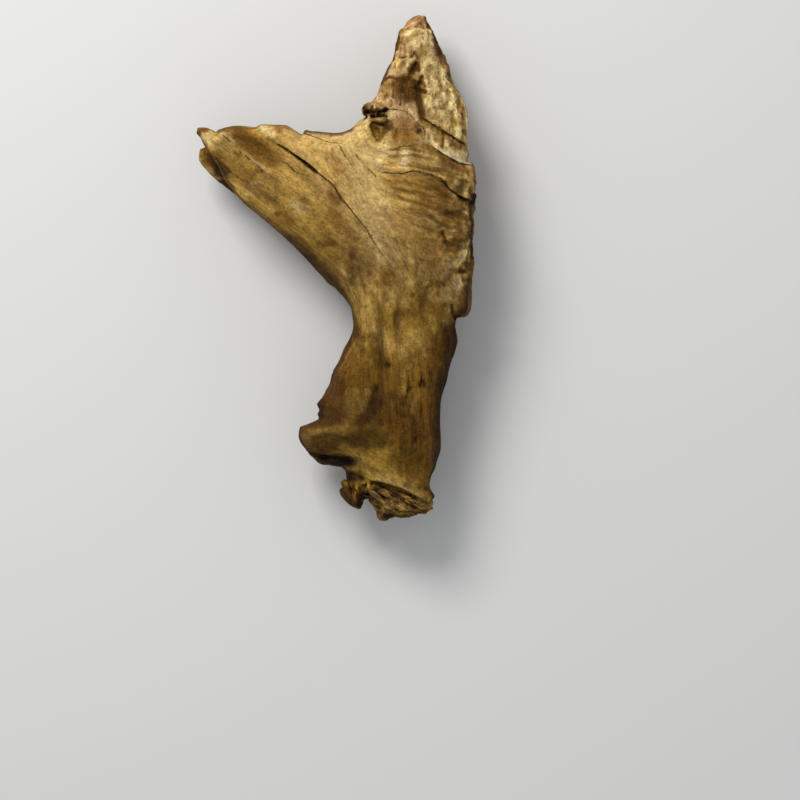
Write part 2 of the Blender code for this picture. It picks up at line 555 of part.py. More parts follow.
def make_wood():
    obj = bpy.data.objects.new(NODE, wood_mesh())
    bpy.context.scene.collection.objects.link(obj)
    largest_piece(obj.data)
    even = obj.modifiers.new("even", "REMESH")
    even.mode = "VOXEL"
    even.voxel_size = 0.75 * CELL * MM
    obj.data = evaluated_copy(obj)
    largest_piece(obj.data)
    fewer = obj.modifiers.new("fewer", "DECIMATE")
    triangles = sum(len(face.vertices) - 2 for face in obj.data.polygons)
    fewer.ratio = TRIANGLES / triangles
    fewer.use_collapse_triangulate = True
    obj.data = evaluated_copy(obj)
    for vert in obj.data.vertices:
        if vert.co.z < 0.3 * MM:
            vert.co.z = 0.0
    obj.data.name = NODE
    obj.data.shade_smooth()
    obj.data.materials.append(weathered_wood())
    return obj


def weathered_wood():
    material = bpy.data.materials.new("weathered_wood")
    material.use_nodes = True
    shader = material.node_tree.nodes["Principled BSDF"]
    shader.inputs["Base Color"].default_value = (0.30, 0.20, 0.08, 1)
    shader.inputs["Roughness"].default_value = 0.75
    shader.inputs["Metallic"].default_value = 0.0
    return material


for old in list(bpy.data.objects):
    bpy.data.objects.remove(old, do_unlink=True)
make_wood()
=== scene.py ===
"""The finish of the mangrove wood: its fine surface, colours and grain, on a pale floor in soft light, with a
camera that looks straight down on it. Lengths are in millimetres until a mesh is made."""

import json

import bmesh
import bpy
import numpy as np
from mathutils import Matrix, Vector

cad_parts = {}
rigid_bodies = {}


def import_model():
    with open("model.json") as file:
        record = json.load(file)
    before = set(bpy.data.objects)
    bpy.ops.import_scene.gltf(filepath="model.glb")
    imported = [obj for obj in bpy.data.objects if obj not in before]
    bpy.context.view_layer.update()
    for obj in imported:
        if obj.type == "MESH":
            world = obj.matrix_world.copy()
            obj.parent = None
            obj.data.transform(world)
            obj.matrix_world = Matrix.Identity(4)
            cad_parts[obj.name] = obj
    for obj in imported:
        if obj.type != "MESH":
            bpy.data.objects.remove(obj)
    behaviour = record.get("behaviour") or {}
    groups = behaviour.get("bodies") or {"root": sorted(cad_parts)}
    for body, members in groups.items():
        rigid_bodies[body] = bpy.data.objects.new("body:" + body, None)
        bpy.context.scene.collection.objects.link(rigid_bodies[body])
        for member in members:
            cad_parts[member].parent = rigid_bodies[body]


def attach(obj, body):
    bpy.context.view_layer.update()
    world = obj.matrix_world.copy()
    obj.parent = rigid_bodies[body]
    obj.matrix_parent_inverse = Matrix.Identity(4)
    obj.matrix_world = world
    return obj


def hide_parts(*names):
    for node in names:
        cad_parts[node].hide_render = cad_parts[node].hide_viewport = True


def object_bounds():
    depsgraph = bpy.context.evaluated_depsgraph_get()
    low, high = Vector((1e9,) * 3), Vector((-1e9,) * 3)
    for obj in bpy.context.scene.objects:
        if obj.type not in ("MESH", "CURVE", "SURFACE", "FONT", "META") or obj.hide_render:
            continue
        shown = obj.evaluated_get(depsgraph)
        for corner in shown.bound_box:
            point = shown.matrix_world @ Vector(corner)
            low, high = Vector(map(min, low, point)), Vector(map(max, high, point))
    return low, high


for old in list(bpy.data.objects):
    bpy.data.objects.remove(old, do_unlink=True)

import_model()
cad_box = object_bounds()

MM = 0.001
PIECE = "weathered_surface"
NODE = "mangrove_wood"

# The surface: grid, mesh and how it is fitted.
CELL = 0.55
VOXEL = 0.49
PROBE = 0.15
SETTLE_LIMIT = 0.3
COARSE_BAND = 2.0
BACK_TRIANGLES = 162000
CRACK_BANDS = (0.32, 0.1)
CRACK_WIDTH = 0.62
ROUND_POWER = 2.3
CARVE_DEPTH = 2.0
BACK_SMOOTHING = 4.0
REST_RADIUS = 9.0
GRAIN_STRENGTH = 0.75
HOLLOW_BLEND = 0.5
GAP_BLEND = 0.3
FIBRE_BLEND = 0.4
PART_BLEND = 0.3
PART_MARGIN = 3.0

# The finest forms and the painting.
PIT_DEPTH = 0.6
RIPPLE_HEIGHT = 0.22
RIPPLE_ANGLE = -20.0
RIDGE_HEIGHT = 0.22
LUMP_HEIGHT = 0.42
FIBRE_HEIGHT = 0.4
CRUMB_HEIGHT = 0.05
TONE_REACH = 6.5
CAVITY_PROBE = 1.3

# The grain's lines, their length and width in metres, and how many specks, mottles and pits go to a metre.
BROAD_GRAIN = (0.009, 0.0011)
THIN_GRAIN = (0.004, 0.00045)
SPECK_SCALE = 1500.0
MOTTLE_SCALE = 640.0
PIT_SCALE = 620.0
FIBRE_SPECK_SCALE = 900.0

# Loose fibres at the root end.
FIBRE_DENSITY = 0.9e6
FIBRE_LENGTH = 1.5
FIBRE_ROOT = 0.3
FIBRE_TIP = 0.12
FIBRE_LIFT = 0.04
FIBRE_STRAY = 0.25
FIBRE_LEVEL = 12.0
FIBRE_MARGIN = 0.6

# The stage.
FLOOR_SIZE = 6.0
FLOOR_TONE = (0.70, 0.70, 0.695, 1)
KEY_PLACE = (-0.30, 0.50, 0.62)
KEY_AIM = (0.0, 0.0, 0.02)
KEY_SIZE = 0.35
KEY_POWER = 5.6
KEY_TINT = (1.0, 0.98, 0.94)
SKY_TINT = (0.96, 0.98, 1.0, 1)
SKY_STRENGTH = 0.5
CAMERA_HEIGHT = 3.2
MIDDLE_LEVEL = 0.018
IMAGE_SIZE = 800
PIXEL = 0.31
WOOD_CENTRE_PIXEL = (336.8, 267.7)

# The outline seen from above, clockwise from the blade's tip. A third value of 1 marks a torn corner.
OUTLINE = [
    (25.3, 78.4), (27.6, 77.7, 1), (27.6, 76.7), (30.0, 73.1), (31.8, 68.6), (34.2, 64.0), (35.4, 58.1),
    (38.0, 53.5), (40.2, 47.9), (40.4, 43.1), (40.1, 40.1), (40.4, 35.8), (40.9, 35.1), (40.4, 32.9, 1),
    (42.3, 31.7, 1), (43.0, 29.4), (42.7, 24.1), (42.3, 23.1, 1), (43.1, 22.4, 1), (43.1, 17.7),
    (43.5, 14.1), (42.7, 8.5), (42.5, 4.2), (41.9, -1.6), (41.7, -7.2), (41.2, -13.1), (39.3, -15.1),
    (37.0, -15.6, 1), (36.3, -18.1), (37.1, -22.6), (36.3, -26.1), (35.3, -29.7), (34.1, -34.8),
    (32.5, -39.1), (32.2, -44.5), (32.1, -48.8), (32.3, -55.7), (31.2, -60.1), (29.3, -65.5),
    (29.0, -68.1), (30.8, -70.7, 1), (29.8, -72.1, 1), (30.1, -74.9, 1), (27.9, -76.4), (25.7, -76.3),
    (22.3, -77.5), (20.3, -77.7), (18.1, -77.2, 1), (15.3, -78.4), (13.3, -78.2), (12.2, -75.8),
    (11.4, -71.6, 1), (8.8, -72.3), (7.3, -74.9, 1), (4.6, -74.0), (2.2, -72.1), (0.5, -69.0),
    (2.7, -65.8), (1.4, -62.1, 1), (-4.2, -62.0, 1), (-6.0, -61.1), (-9.4, -56.9), (-11.9, -52.2),
    (-11.3, -49.3, 1), (-7.8, -48.0), (-5.7, -46.7), (-6.2, -45.3, 1), (-5.3, -44.1), (-6.0, -42.1, 1),
    (-3.2, -38.2), (-1.9, -36.0), (-1.3, -31.6), (1.6, -27.3), (3.6, -22.7), (4.8, -18.8), (4.4, -13.4),
    (3.4, -10.9), (0.6, -7.3), (-4.7, -2.5), (-10.1, 3.4), (-15.8, 9.1), (-23.4, 15.5), (-27.6, 18.8),
    (-32.9, 23.4), (-38.2, 27.4), (-41.8, 31.5), (-42.8, 33.2), (-42.5, 36.9), (-40.8, 37.6, 1),
    (-42.3, 40.6, 1), (-43.5, 41.8, 1), (-43.1, 43.4, 1), (-40.0, 43.4), (-37.6, 42.1, 1),
    (-36.8, 42.9, 1), (-31.7, 44.1), (-25.1, 43.4), (-23.7, 44.2), (-17.8, 44.3), (-15.6, 44.1),
    (-10.7, 41.0, 1), (-10.0, 42.8, 1), (-6.3, 42.1), (-0.8, 41.7), (4.2, 42.8), (7.1, 45.6),
    (8.9, 46.7, 1), (8.0, 48.4), (8.2, 50.5, 1), (10.3, 51.0), (12.2, 53.1), (14.4, 58.7), (15.9, 62.1),
    (17.8, 66.0), (18.8, 71.5), (19.1, 72.7, 1), (22.3, 76.7),
]

# Heights along the piece: x, y, front, back, how far in the rounded edge reaches, and where between the
# back (0) and the front (1) the piece is widest.
STATIONS = [
    (25.2, 76.2, 18, 10, 2.0, 0.5), (25.8, 67.5, 23, 9, 3.0, 0.5), (27.3, 58.2, 28, 7, 3.5, 0.5),
    (19.0, 58.2, 26, 9, 4.0, 0.5), (30.4, 48.9, 31, 6, 4.0, 0.6), (12.8, 48.3, 31, 10, 5.0, 0.6),
    (37.6, 38.0, 31, 4, 3.5, 0.7), (22.7, 36.5, 35, 5, 7.0, 0.6), (7.2, 36.5, 34, 9, 8.0, 0.5),
    (-3.7, 33.4, 32, 8, 7.0, 0.5), (-7.7, 21.0, 33, 5, 6.0, 0.4), (-16.1, 36.5, 30, 10, 6.0, 0.5),
    (-23.2, 24.1, 30, 8, 4.5, 0.35), (-30.0, 36.5, 28, 11, 4.5, 0.5), (-38.7, 37.1, 27, 10, 2.5, 0.25),
    (4.1, 13.2, 35, 5, 8.0, 0.35), (22.7, 16.3, 37, 4, 8.0, 0.5), (38.2, 17.9, 34, 6, 3.5, 0.35),
    (5.6, -2.3, 34, 6, 8.0, 0.3), (25.8, -3.8, 37, 4, 8.0, 0.5), (38.8, -5.4, 31, 8, 4.0, 0.45),
    (11.8, -19.3, 34, 5, 9.0, 0.4), (28.9, -22.4, 34, 5, 9.0, 0.5), (8.7, -36.4, 33, 5, 9.0, 0.4),
    (25.8, -39.5, 34, 3, 10.0, 0.5), (-0.6, -41.0, 29, 8, 6.0, 0.4), (4.1, -51.9, 31, 5, 7.0, 0.5),
    (-7.7, -52.8, 28, 8, 4.0, 0.3), (19.6, -55.0, 33, 3, 10.0, 0.5), (4.1, -68.9, 24, 8, 4.0, 0.4),
    (16.5, -68.9, 30, 5, 7.0, 0.5), (27.3, -70.5, 28, 6, 5.0, 0.5), (18.0, -76.7, 25, 9, 3.0, 0.4),
]
STATION_REACH = 10.5

# Limbs as the grain follows them: a centre line, how far its grain rules, its direction and its depth.
LIMBS = {
    "blade": ([(25.2, 76.8), (28.9, 42.7)], 9.0, 96.0, 0.5),
    "arm": ([(-37.8, 36.5), (1.0, 14.8)], 12.0, 145.0, 0.45),
    "curl": ([(19.6, 22.5), (39.7, 16.3)], 9.0, -8.0, 0.4),
    "trunk": ([(11.8, -6.9), (19.0, -34.8), (19.0, -72.0)], 12.0, 95.0, 0.85),
    "nose": ([(-11.4, -52.5), (2.5, -53.4)], 6.0, 172.0, 0.6),
}

# Where one layer of wood ends over the next: x, y and the rise on the left of the line as it is walked,
# and how far behind its edge the layer has sunk back to the common surface.
STEPS = {
    "blade_plate": ([
        (23.6, 61.3, 0.0), (23.0, 56.9, 0.8), (24.9, 52.9, 1.0), (26.2, 46.1, 1.3), (29.3, 44.5, 1.4),
        (34.5, 41.0, 1.5), (41.3, 37.1, 1.6),
    ], 9.0),
    "strip": ([(26.9, 39.6, 0.0), (32.8, 35.1, 1.4), (38.0, 32.2, 1.7), (43.2, 31.5, 1.7)], 7.0),
    "collar": ([
        (14.6, 29.0, 0.0), (20.5, 28.8, 0.3), (29.3, 28.3, 0.7), (33.5, 26.0, 1.0), (37.0, 22.4, 1.3),
        (42.5, 19.4, 1.6),
    ], 6.0),
    "arm_front": ([
        (15.8, 1.4, 0.0), (5.7, 16.2, -0.8), (-1.6, 26.0, -1.2), (-8.9, 31.4, -1.6), (-14.5, 36.2, 0.0),
    ], 8.0),
    "cap_patch": ([
        (24.9, 52.6, 0.6), (23.9, 56.9, 1.0), (22.1, 58.8, 1.0), (17.1, 59.1, 1.0), (14.3, 56.0, 0.8),
    ], 7.0),
    "arm_lip": ([
        (-25.7, 17.3, 0.0), (-30.1, 21.8, -6.0), (-34.4, 26.8, -8.0), (-36.4, 30.9, -9.0),
        (-39.0, 35.5, -9.0), (-40.9, 37.7, -6.0), (-43.6, 40.5, 0.0),
    ], 14.0),
    "side_slot": ([
        (44.1, 22.5, 0.0), (42.3, 20.7, -8.0), (41.4, 18.5, -14.0), (41.8, 12.9, -14.0),
        (41.9, 3.6, -12.0), (44.4, 1.8, 0.0),
    ], 40.0),
    "cleft": ([
        (7.8, -60.5, 0.0), (6.0, -60.1, -3.0), (3.3, -58.5, -8.0), (0.5, -57.8, -10.0),
        (-2.3, -58.2, -10.0), (-5.5, -57.5, -8.0), (-8.9, -56.2, 0.0),
    ], 16.0),
    "foot_ledge": ([
        (30.1, -73.6, -2.0), (20.8, -68.6, -3.0), (14.9, -66.7, -3.0), (10.3, -65.8, -3.0),
        (7.2, -64.0, -5.0), (2.9, -62.7, -6.0),
    ], 12.0),
}

# Hollows and swellings of the front: x, y, reach along, reach across, angle of the long way, height.
RELIEF = [
    (10.9, 48.9, 3.6, 2.2, 15, 3.4), (13.7, 44.9, 3.2, 1.2, 5, 2.2), (11.8, 46.7, 2.6, 0.9, 10, -1.6),
    (12.2, 41.1, 3.4, 1.9, 80, -2.6), (23.9, 61.6, 2.2, 1.5, 60, -1.3), (26.1, 56.3, 2.6, 1.2, 75, -1.3),
    (31.4, 67.2, 2.4, 1.3, -50, -1.2), (33.9, 63.1, 2.0, 1.0, -60, -1.0), (24.2, 65.9, 1.6, 1.1, 0, -0.6),
    (20.8, 66.9, 3.2, 1.6, 70, 0.6), (29.5, 52.0, 4.5, 2.5, 85, 0.6), (25.5, 42.1, 1.6, 1.2, 0, -1.2),
    (34.8, 39.6, 5.0, 1.4, -32, 0.5), (20.8, 41.1, 4.2, 3.4, 0, -0.7), (20.8, 33.7, 1.8, 2.4, 0, 0.7),
    (39.4, 5.2, 1.5, 2.8, 0, 1.2), (38.2, 11.4, 2.2, 2.6, 0, 0.9), (33.2, 9.2, 1.1, 2.2, 20, -1.0),
    (38.8, -0.4, 2.4, 1.2, 40, -1.0), (39.7, -4.1, 1.0, 1.6, 0, -0.9), (32.9, -6.0, 2.4, 1.4, 60, -0.8),
    (27.3, -10.0, 6.0, 2.0, 60, -0.6), (37.3, 19.1, 4.0, 1.2, -42, 0.9), (31.4, -22.7, 1.8, 3.4, 0, -1.3),
    (34.8, -23.0, 2.4, 4.2, 0, 0.8), (-3.0, 7.0, 2.6, 1.1, 0, -0.7), (-18.5, 16.3, 1.4, 0.9, 0, -0.6),
    (-26.6, 38.0, 6.0, 2.4, -42, -0.7), (-26.9, 33.1, 5.5, 1.2, -40, 0.7),
    (-11.4, 18.5, 4.0, 2.4, -30, 0.6), (-13.0, 29.7, 7.0, 1.6, -35, -0.5),
    (15.9, -30.5, 1.0, 1.0, 0, -1.0), (26.1, -36.4, 1.4, 1.2, 60, -1.0), (22.4, -38.2, 1.0, 1.2, 0, -0.9),
    (24.6, -53.4, 0.9, 1.1, 0, -1.0), (14.0, -48.8, 0.8, 0.8, 0, -0.8), (9.4, -43.5, 7.0, 1.8, 62, -0.9),
    (3.5, -32.3, 7.0, 1.6, 65, 0.7), (17.1, -42.6, 9.0, 1.5, 86, 0.6), (29.2, -41.0, 9.0, 1.3, 92, 0.5),
    (-3.7, -50.6, 6.0, 1.4, 12, 1.2), (-0.6, -54.3, 5.0, 2.2, 5, -1.1), (-5.2, -41.0, 2.2, 1.6, 60, 0.8),
    (-7.4, -55.3, 3.5, 1.6, -50, 0.7), (10.9, -61.2, 6.0, 1.6, -25, 0.9),
    (21.1, -65.2, 9.0, 1.6, -28, 1.1), (17.1, -7.5, 7.0, 4.0, 40, 0.7), (4.7, -10.0, 6.0, 2.4, 70, -0.6),
    (2.5, 27.2, 7.0, 3.0, -60, 0.5),
]

# The torn hollow behind the arm's front lip.
ARM_HOLLOW = [
    (-41.2, 35.6, 18), (-39.0, 32.1, 18), (-36.4, 28.1, 18), (-33.1, 24.4, 17), (-30.0, 21.1, 16),
]
ARM_HOLLOW_RADIUS = [2.6, 3.8, 3.4, 2.4, 1.2]

# The dark slot between the front wood and a thin layer behind it on the right.
SIDE_SLOT = [(42.5, 20.1, 22), (41.9, 16.3, 22), (41.9, 10.1, 22), (42.2, 4.2, 22)]
SIDE_SLOT_RADIUS = [0.9, 1.5, 1.5, 0.9]

# The cleft under the nose, the hollow behind it and the arch between the two feet.
CLEFT = [(-6.4, -58.1, 20), (-2.4, -58.7, 21), (2.5, -59.3, 24), (7.2, -60.5, 30)]
CLEFT_RADIUS = [1.6, 2.4, 2.0, 1.0]
UNDER_NOSE = [(-6.4, -61.5, 25), (-2.7, -61.8, 25), (1.6, -62.1, 26)]
UNDER_NOSE_RADIUS = [3.0, 3.6, 2.6]
ARCH = [(9.7, -75.7, 18), (9.7, -72.6, 17), (9.7, -70.5, 20), (10.0, -69.5, 26)]
ARCH_RADIUS = [2.6, 2.4, 1.9, 1.5]
UNDER_FOOT = [(14.6, -78.5, 24), (16.5, -77.3, 22), (18.4, -77.6, 20)]
UNDER_FOOT_RADIUS = [2.0, 1.8, 1.4]

# The root end is frayed along its lower edge: a line through the frayed wood, how wide it is, and the way
# its fibres run. Stout fibres and open gaps are named one by one: start, end and radius.
FRAY_LINE = [(10.9, -70.2), (18.0, -73.6), (28.9, -75.7)]
FRAY_REACH = 4.5
FRAY_ANGLE = -30.0
FRAY_DEPTH = 1.5
FIBRES = [
    ((11.5, -67.7, 26), (24.6, -75.7, 22), 0.9), ((10.6, -69.5, 24), (19.6, -77.0, 20), 0.9),
    ((10.9, -72.0, 21), (14.6, -77.6, 18), 1.1), ((2.5, -66.7, 23), (6.6, -73.9, 19), 1.2),
]
FIBRE_GAPS = [
    ((12.8, -68.3, 28), (14.3, -68.9, 22), 1.3), ((17.1, -72.0, 26), (20.8, -74.2, 22), 1.1),
    ((11.5, -71.4, 24), (14.0, -74.5, 20), 1.0), ((22.1, -72.9, 26), (25.8, -74.8, 23), 0.9),
    ((7.5, -61.5, 28), (9.1, -68.9, 22), 1.2),
]

# The back: long channels with the half-width and depth at each point, and three low places to rest on with
# the drop to each.
BACK_CHANNELS = [
    [
        (23.3, 53.5, 1.4, 0.6), (19.6, 30.3, 2.4, 1.8), (20.8, 10.1, 2.0, 2.2), (15.9, -10.0, 2.8, 2.6),
        (12.8, -30.2, 2.2, 2.0), (15.3, -53.4, 2.6, 0.6),
    ],
    [(30.8, 24.1, 1.2, 0.4), (28.9, 8.6, 2.0, 1.8), (30.8, -13.1, 1.6, 2.2), (26.4, -41.0, 2.0, 0.6)],
    [(-32.5, 34.0, 1.2, 0.6), (-20.1, 22.2, 2.2, 1.8), (-8.9, 14.8, 1.8, 2.2), (3.5, -0.1, 2.0, 0.8)],
    [(-23.2, 36.5, 1.0, 0.6), (-5.8, 30.9, 2.4, 1.6), (7.8, 16.3, 1.4, 0.6)],
    [(6.0, -25.5, 1.4, 0.6), (2.9, -39.5, 2.4, 1.8), (4.7, -53.4, 1.4, 0.8)],
]
RESTS = [(-4.6, 21.9, 8.4), (34.5, 35.9, 8.0), (20.2, -60.2, 6.0)]

# Open cracks that go deep: points with the half-width and the depth at each.
OPEN_CRACKS = {
    "slit": [
        (-17.9, 37.9, 0.18, 0.95), (-15.4, 36.2, 0.26, 2.38), (-12.6, 34.3, 0.35, 4.27),
        (-10.2, 32.7, 0.44, 6.17), (-8.3, 31.2, 0.49, 6.65), (-6.6, 29.8, 0.41, 4.75),
        (-5.7, 29.0, 0.2, 1.42),
    ],
    "collar_gap": [
        (32.3, 26.9, 0.1, 0.43), (35.1, 23.8, 0.14, 1.01), (37.6, 21.8, 0.16, 1.3),
        (40.3, 20.7, 0.18, 1.58), (42.2, 19.4, 0.25, 2.16),
    ],
    "sliver_gap": [(-11.4, 42.4, 0.5, 2.2), (-9.5, 41.3, 0.45, 1.8), (-7.7, 40.5, 0.3, 1.2)],
}

# Hair cracks and open cracks of the front: x, y, half-width and depth at each point.
FINE_CRACKS = {
    "long_split": [
        (-18.9, 38.4, 0.1, 0.18), (-16.4, 37.0, 0.18, 0.44), (-12.3, 34.3, 0.26, 0.7),
        (-7.7, 30.6, 0.3, 0.79), (-6.0, 29.4, 0.19, 0.53), (-3.8, 27.6, 0.19, 0.58),
        (-1.6, 26.0, 0.22, 0.62), (-0.4, 24.6, 0.23, 0.66), (0.4, 22.7, 0.23, 0.66),
        (1.6, 20.8, 0.21, 0.58), (3.4, 19.0, 0.19, 0.53), (5.7, 16.2, 0.18, 0.49),
        (8.9, 12.1, 0.17, 0.44), (10.9, 8.7, 0.16, 0.4), (13.2, 5.4, 0.14, 0.35), (15.8, 1.4, 0.13, 0.26),
        (18.2, -1.6, 0.09, 0.14),
    ],
    "collar_crack": [
        (12.9, 29.7, 0.12, 0.23), (14.3, 29.1, 0.15, 0.51), (16.7, 28.9, 0.18, 0.62),
        (20.5, 28.8, 0.2, 0.68), (23.8, 29.6, 0.2, 0.68), (26.7, 29.0, 0.21, 0.74),
        (29.3, 28.3, 0.23, 0.79), (31.9, 27.3, 0.23, 0.91), (33.5, 26.0, 0.26, 1.02),
        (35.1, 23.8, 0.28, 1.13), (37.0, 22.4, 0.28, 1.13), (38.8, 21.0, 0.26, 1.13),
        (40.3, 20.9, 0.26, 1.13), (41.9, 19.6, 0.32, 1.36),
    ],
    "sliver_crack": [
        (-11.1, 42.2, 0.27, 0.72), (-8.9, 41.0, 0.25, 0.66), (-6.5, 40.1, 0.2, 0.48),
        (-5.0, 39.6, 0.16, 0.36), (-2.8, 38.7, 0.14, 0.3), (1.0, 38.2, 0.11, 0.18),
    ],
    "saddle_crack": [(0.8, 37.7, 0.14, 0.35), (2.4, 34.9, 0.18, 0.49), (5.1, 30.8, 0.13, 0.28)],
    "centre_crack": [
        (5.7, 34.9, 0.13, 0.28), (7.3, 32.7, 0.16, 0.42), (9.3, 30.6, 0.18, 0.49),
        (11.7, 28.6, 0.18, 0.49), (12.4, 27.0, 0.13, 0.28),
    ],
    "under_split": [
        (-17.6, 32.9, 0.12, 0.3), (-15.0, 31.6, 0.16, 0.5), (-12.7, 29.4, 0.16, 0.5),
        (-8.7, 28.0, 0.12, 0.3),
    ],
    "arm_crack": [
        (-37.6, 33.7, 0.14, 0.4), (-35.0, 31.4, 0.18, 0.6), (-31.9, 28.7, 0.18, 0.6),
        (-28.5, 26.4, 0.12, 0.3),
    ],
    "arm_line": [(-35.4, 41.2, 0.14, 0.4), (-33.7, 39.6, 0.16, 0.5), (-31.9, 38.0, 0.12, 0.3)],
    "arm_ridge": [(-30.3, 36.1, 0.16, 0.5), (-26.9, 33.4, 0.18, 0.6), (-22.8, 29.7, 0.12, 0.3)],
    "knot_crack": [
        (14.6, 48.6, 0.24, 0.59), (16.8, 48.8, 0.21, 0.46), (19.1, 48.6, 0.16, 0.34),
        (21.4, 48.1, 0.12, 0.17),
    ],
    "cap_crack": [
        (20.5, 48.3, 0.1, 0.14), (22.6, 47.2, 0.14, 0.29), (25.2, 44.5, 0.18, 0.38),
        (26.9, 42.7, 0.2, 0.43), (27.4, 40.8, 0.12, 0.19),
    ],
    "strip_crack": [(32.8, 41.6, 0.14, 0.4), (32.7, 39.0, 0.24, 0.9), (32.5, 36.5, 0.14, 0.4)],
    "plate_edge": [
        (25.8, 48.3, 0.17, 0.42), (26.4, 45.7, 0.25, 0.7), (29.3, 44.5, 0.25, 0.7),
        (31.6, 42.4, 0.25, 0.7), (34.5, 41.0, 0.27, 0.77), (37.8, 38.9, 0.27, 0.77),
        (41.0, 37.3, 0.28, 0.84),
    ],
    "shelf_edge": [
        (28.0, 38.5, 0.13, 0.14), (30.0, 36.5, 0.18, 0.24), (32.8, 34.8, 0.22, 0.32),
        (35.6, 33.1, 0.23, 0.35), (38.0, 31.9, 0.23, 0.35), (42.5, 31.5, 0.27, 0.42),
    ],
    "collar_curve": [(17.4, 36.0, 0.12, 0.24), (20.5, 37.3, 0.17, 0.48), (23.8, 37.4, 0.12, 0.24)],
    "gash": [(32.7, 10.6, 0.24, 0.84), (33.9, 7.7, 0.17, 0.48)],
    "flap_crack": [(35.4, -11.6, 0.16, 0.6), (35.7, -14.4, 0.24, 1.0), (36.6, -15.9, 0.3, 1.2)],
    "root_crack": [(6.0, -55.9, 0.08, 0.12), (6.9, -57.8, 0.11, 0.24), (7.7, -59.9, 0.17, 0.36)],
    "trunk_check": [(26.2, -32.3, 0.12, 0.3), (26.3, -34.8, 0.2, 0.7), (25.6, -37.6, 0.16, 0.5)],
    "trunk_line": [(22.2, -34.2, 0.1, 0.2), (21.9, -38.2, 0.18, 0.6), (21.3, -42.3, 0.1, 0.2)],
    "low_line": [(23.9, -46.9, 0.12, 0.3), (24.5, -50.6, 0.16, 0.5), (24.6, -52.8, 0.2, 0.7)],
    "foot_line": [(4.7, -67.1, 0.2, 0.8), (6.3, -69.5, 0.24, 0.9), (6.6, -72.6, 0.2, 0.7)],
    "peak_pit": [
        (22.5, 59.4, 0.69, 0.39), (23.6, 61.0, 1.26, 0.91), (24.7, 63.0, 1.15, 0.78),
        (25.3, 61.1, 1.03, 0.78),
    ],
    "hook_pit": [
        (26.4, 59.0, 0.69, 0.52), (25.8, 56.9, 1.03, 0.78), (25.2, 55.7, 1.03, 0.78),
        (25.8, 54.5, 1.15, 1.04), (27.3, 54.2, 0.69, 0.52),
    ],
    "roof_pit": [(23.0, 65.0, 0.5, 0.3), (24.1, 66.4, 0.7, 0.5), (25.2, 64.7, 0.5, 0.3)],
    "flake_pit": [(19.4, 65.2, 0.4, 0.2), (20.2, 64.8, 0.6, 0.4), (21.5, 65.0, 0.4, 0.2)],
    "cap_lip": [
        (14.6, 57.6, 0.4, 0.3), (15.9, 58.8, 0.5, 0.4), (19.0, 58.3, 0.5, 0.5), (22.4, 58.7, 0.6, 0.6),
        (23.9, 57.3, 0.9, 0.7), (24.9, 54.8, 1.2, 0.8), (25.9, 50.1, 1.2, 0.8), (26.4, 46.1, 0.7, 0.6),
    ],
}

# The broken knot: stubs and holes as lines with x, y and the height over the wood below, and their radii.
KNOT_CENTRE = (12.5, 46.7)
KNOT_REACH = 8.5
KNOT_STUBS = [
    ([
        (8.9, 47.6, 0.0), (8.7, 48.7, 0.5), (10.0, 49.7, 0.9), (11.5, 49.9, 0.6), (12.8, 49.7, 0.9),
        (14.3, 49.4, 0.5),
    ], [0.9, 1.1, 1.2, 0.8, 1.0, 0.6]),
    ([
        (10.6, 45.5, 0.4), (12.8, 45.6, 0.9), (14.9, 45.3, 1.1), (16.0, 44.2, 0.8), (15.7, 42.7, 0.3),
    ], [0.6, 0.7, 0.9, 0.9, 0.6]),
    ([(10.3, 49.2, 0.6), (10.8, 47.2, 0.4)], [0.6, 0.5]),
    ([(12.0, 49.2, 0.7), (12.3, 46.7, 0.6)], [0.6, 0.5]),
    ([(13.9, 48.9, 0.6), (13.4, 46.9, 0.5)], [0.6, 0.4]),
    ([(15.6, 43.9, 0.3), (14.8, 41.4, 0.1), (13.7, 39.3, -0.1)], [0.8, 0.6, 0.4]),
]
KNOT_HOLES = [
    ([
        (9.4, 48.0, -0.5), (11.4, 48.1, -0.9), (13.1, 48.1, -0.9), (15.4, 48.6, -0.5),
    ], [0.8, 1.1, 1.1, 0.6]),
    ([(10.9, 46.7, -0.2), (13.4, 46.8, -0.2), (15.3, 46.6, -0.1)], [0.5, 0.6, 0.4]),
    ([(11.5, 44.3, -0.4), (14.3, 44.1, -0.4)], [0.7, 0.8]),
    ([(11.2, 43.6, -0.5), (12.0, 41.8, -0.9), (12.8, 39.6, -0.2)], [0.9, 1.5, 0.7]),
]

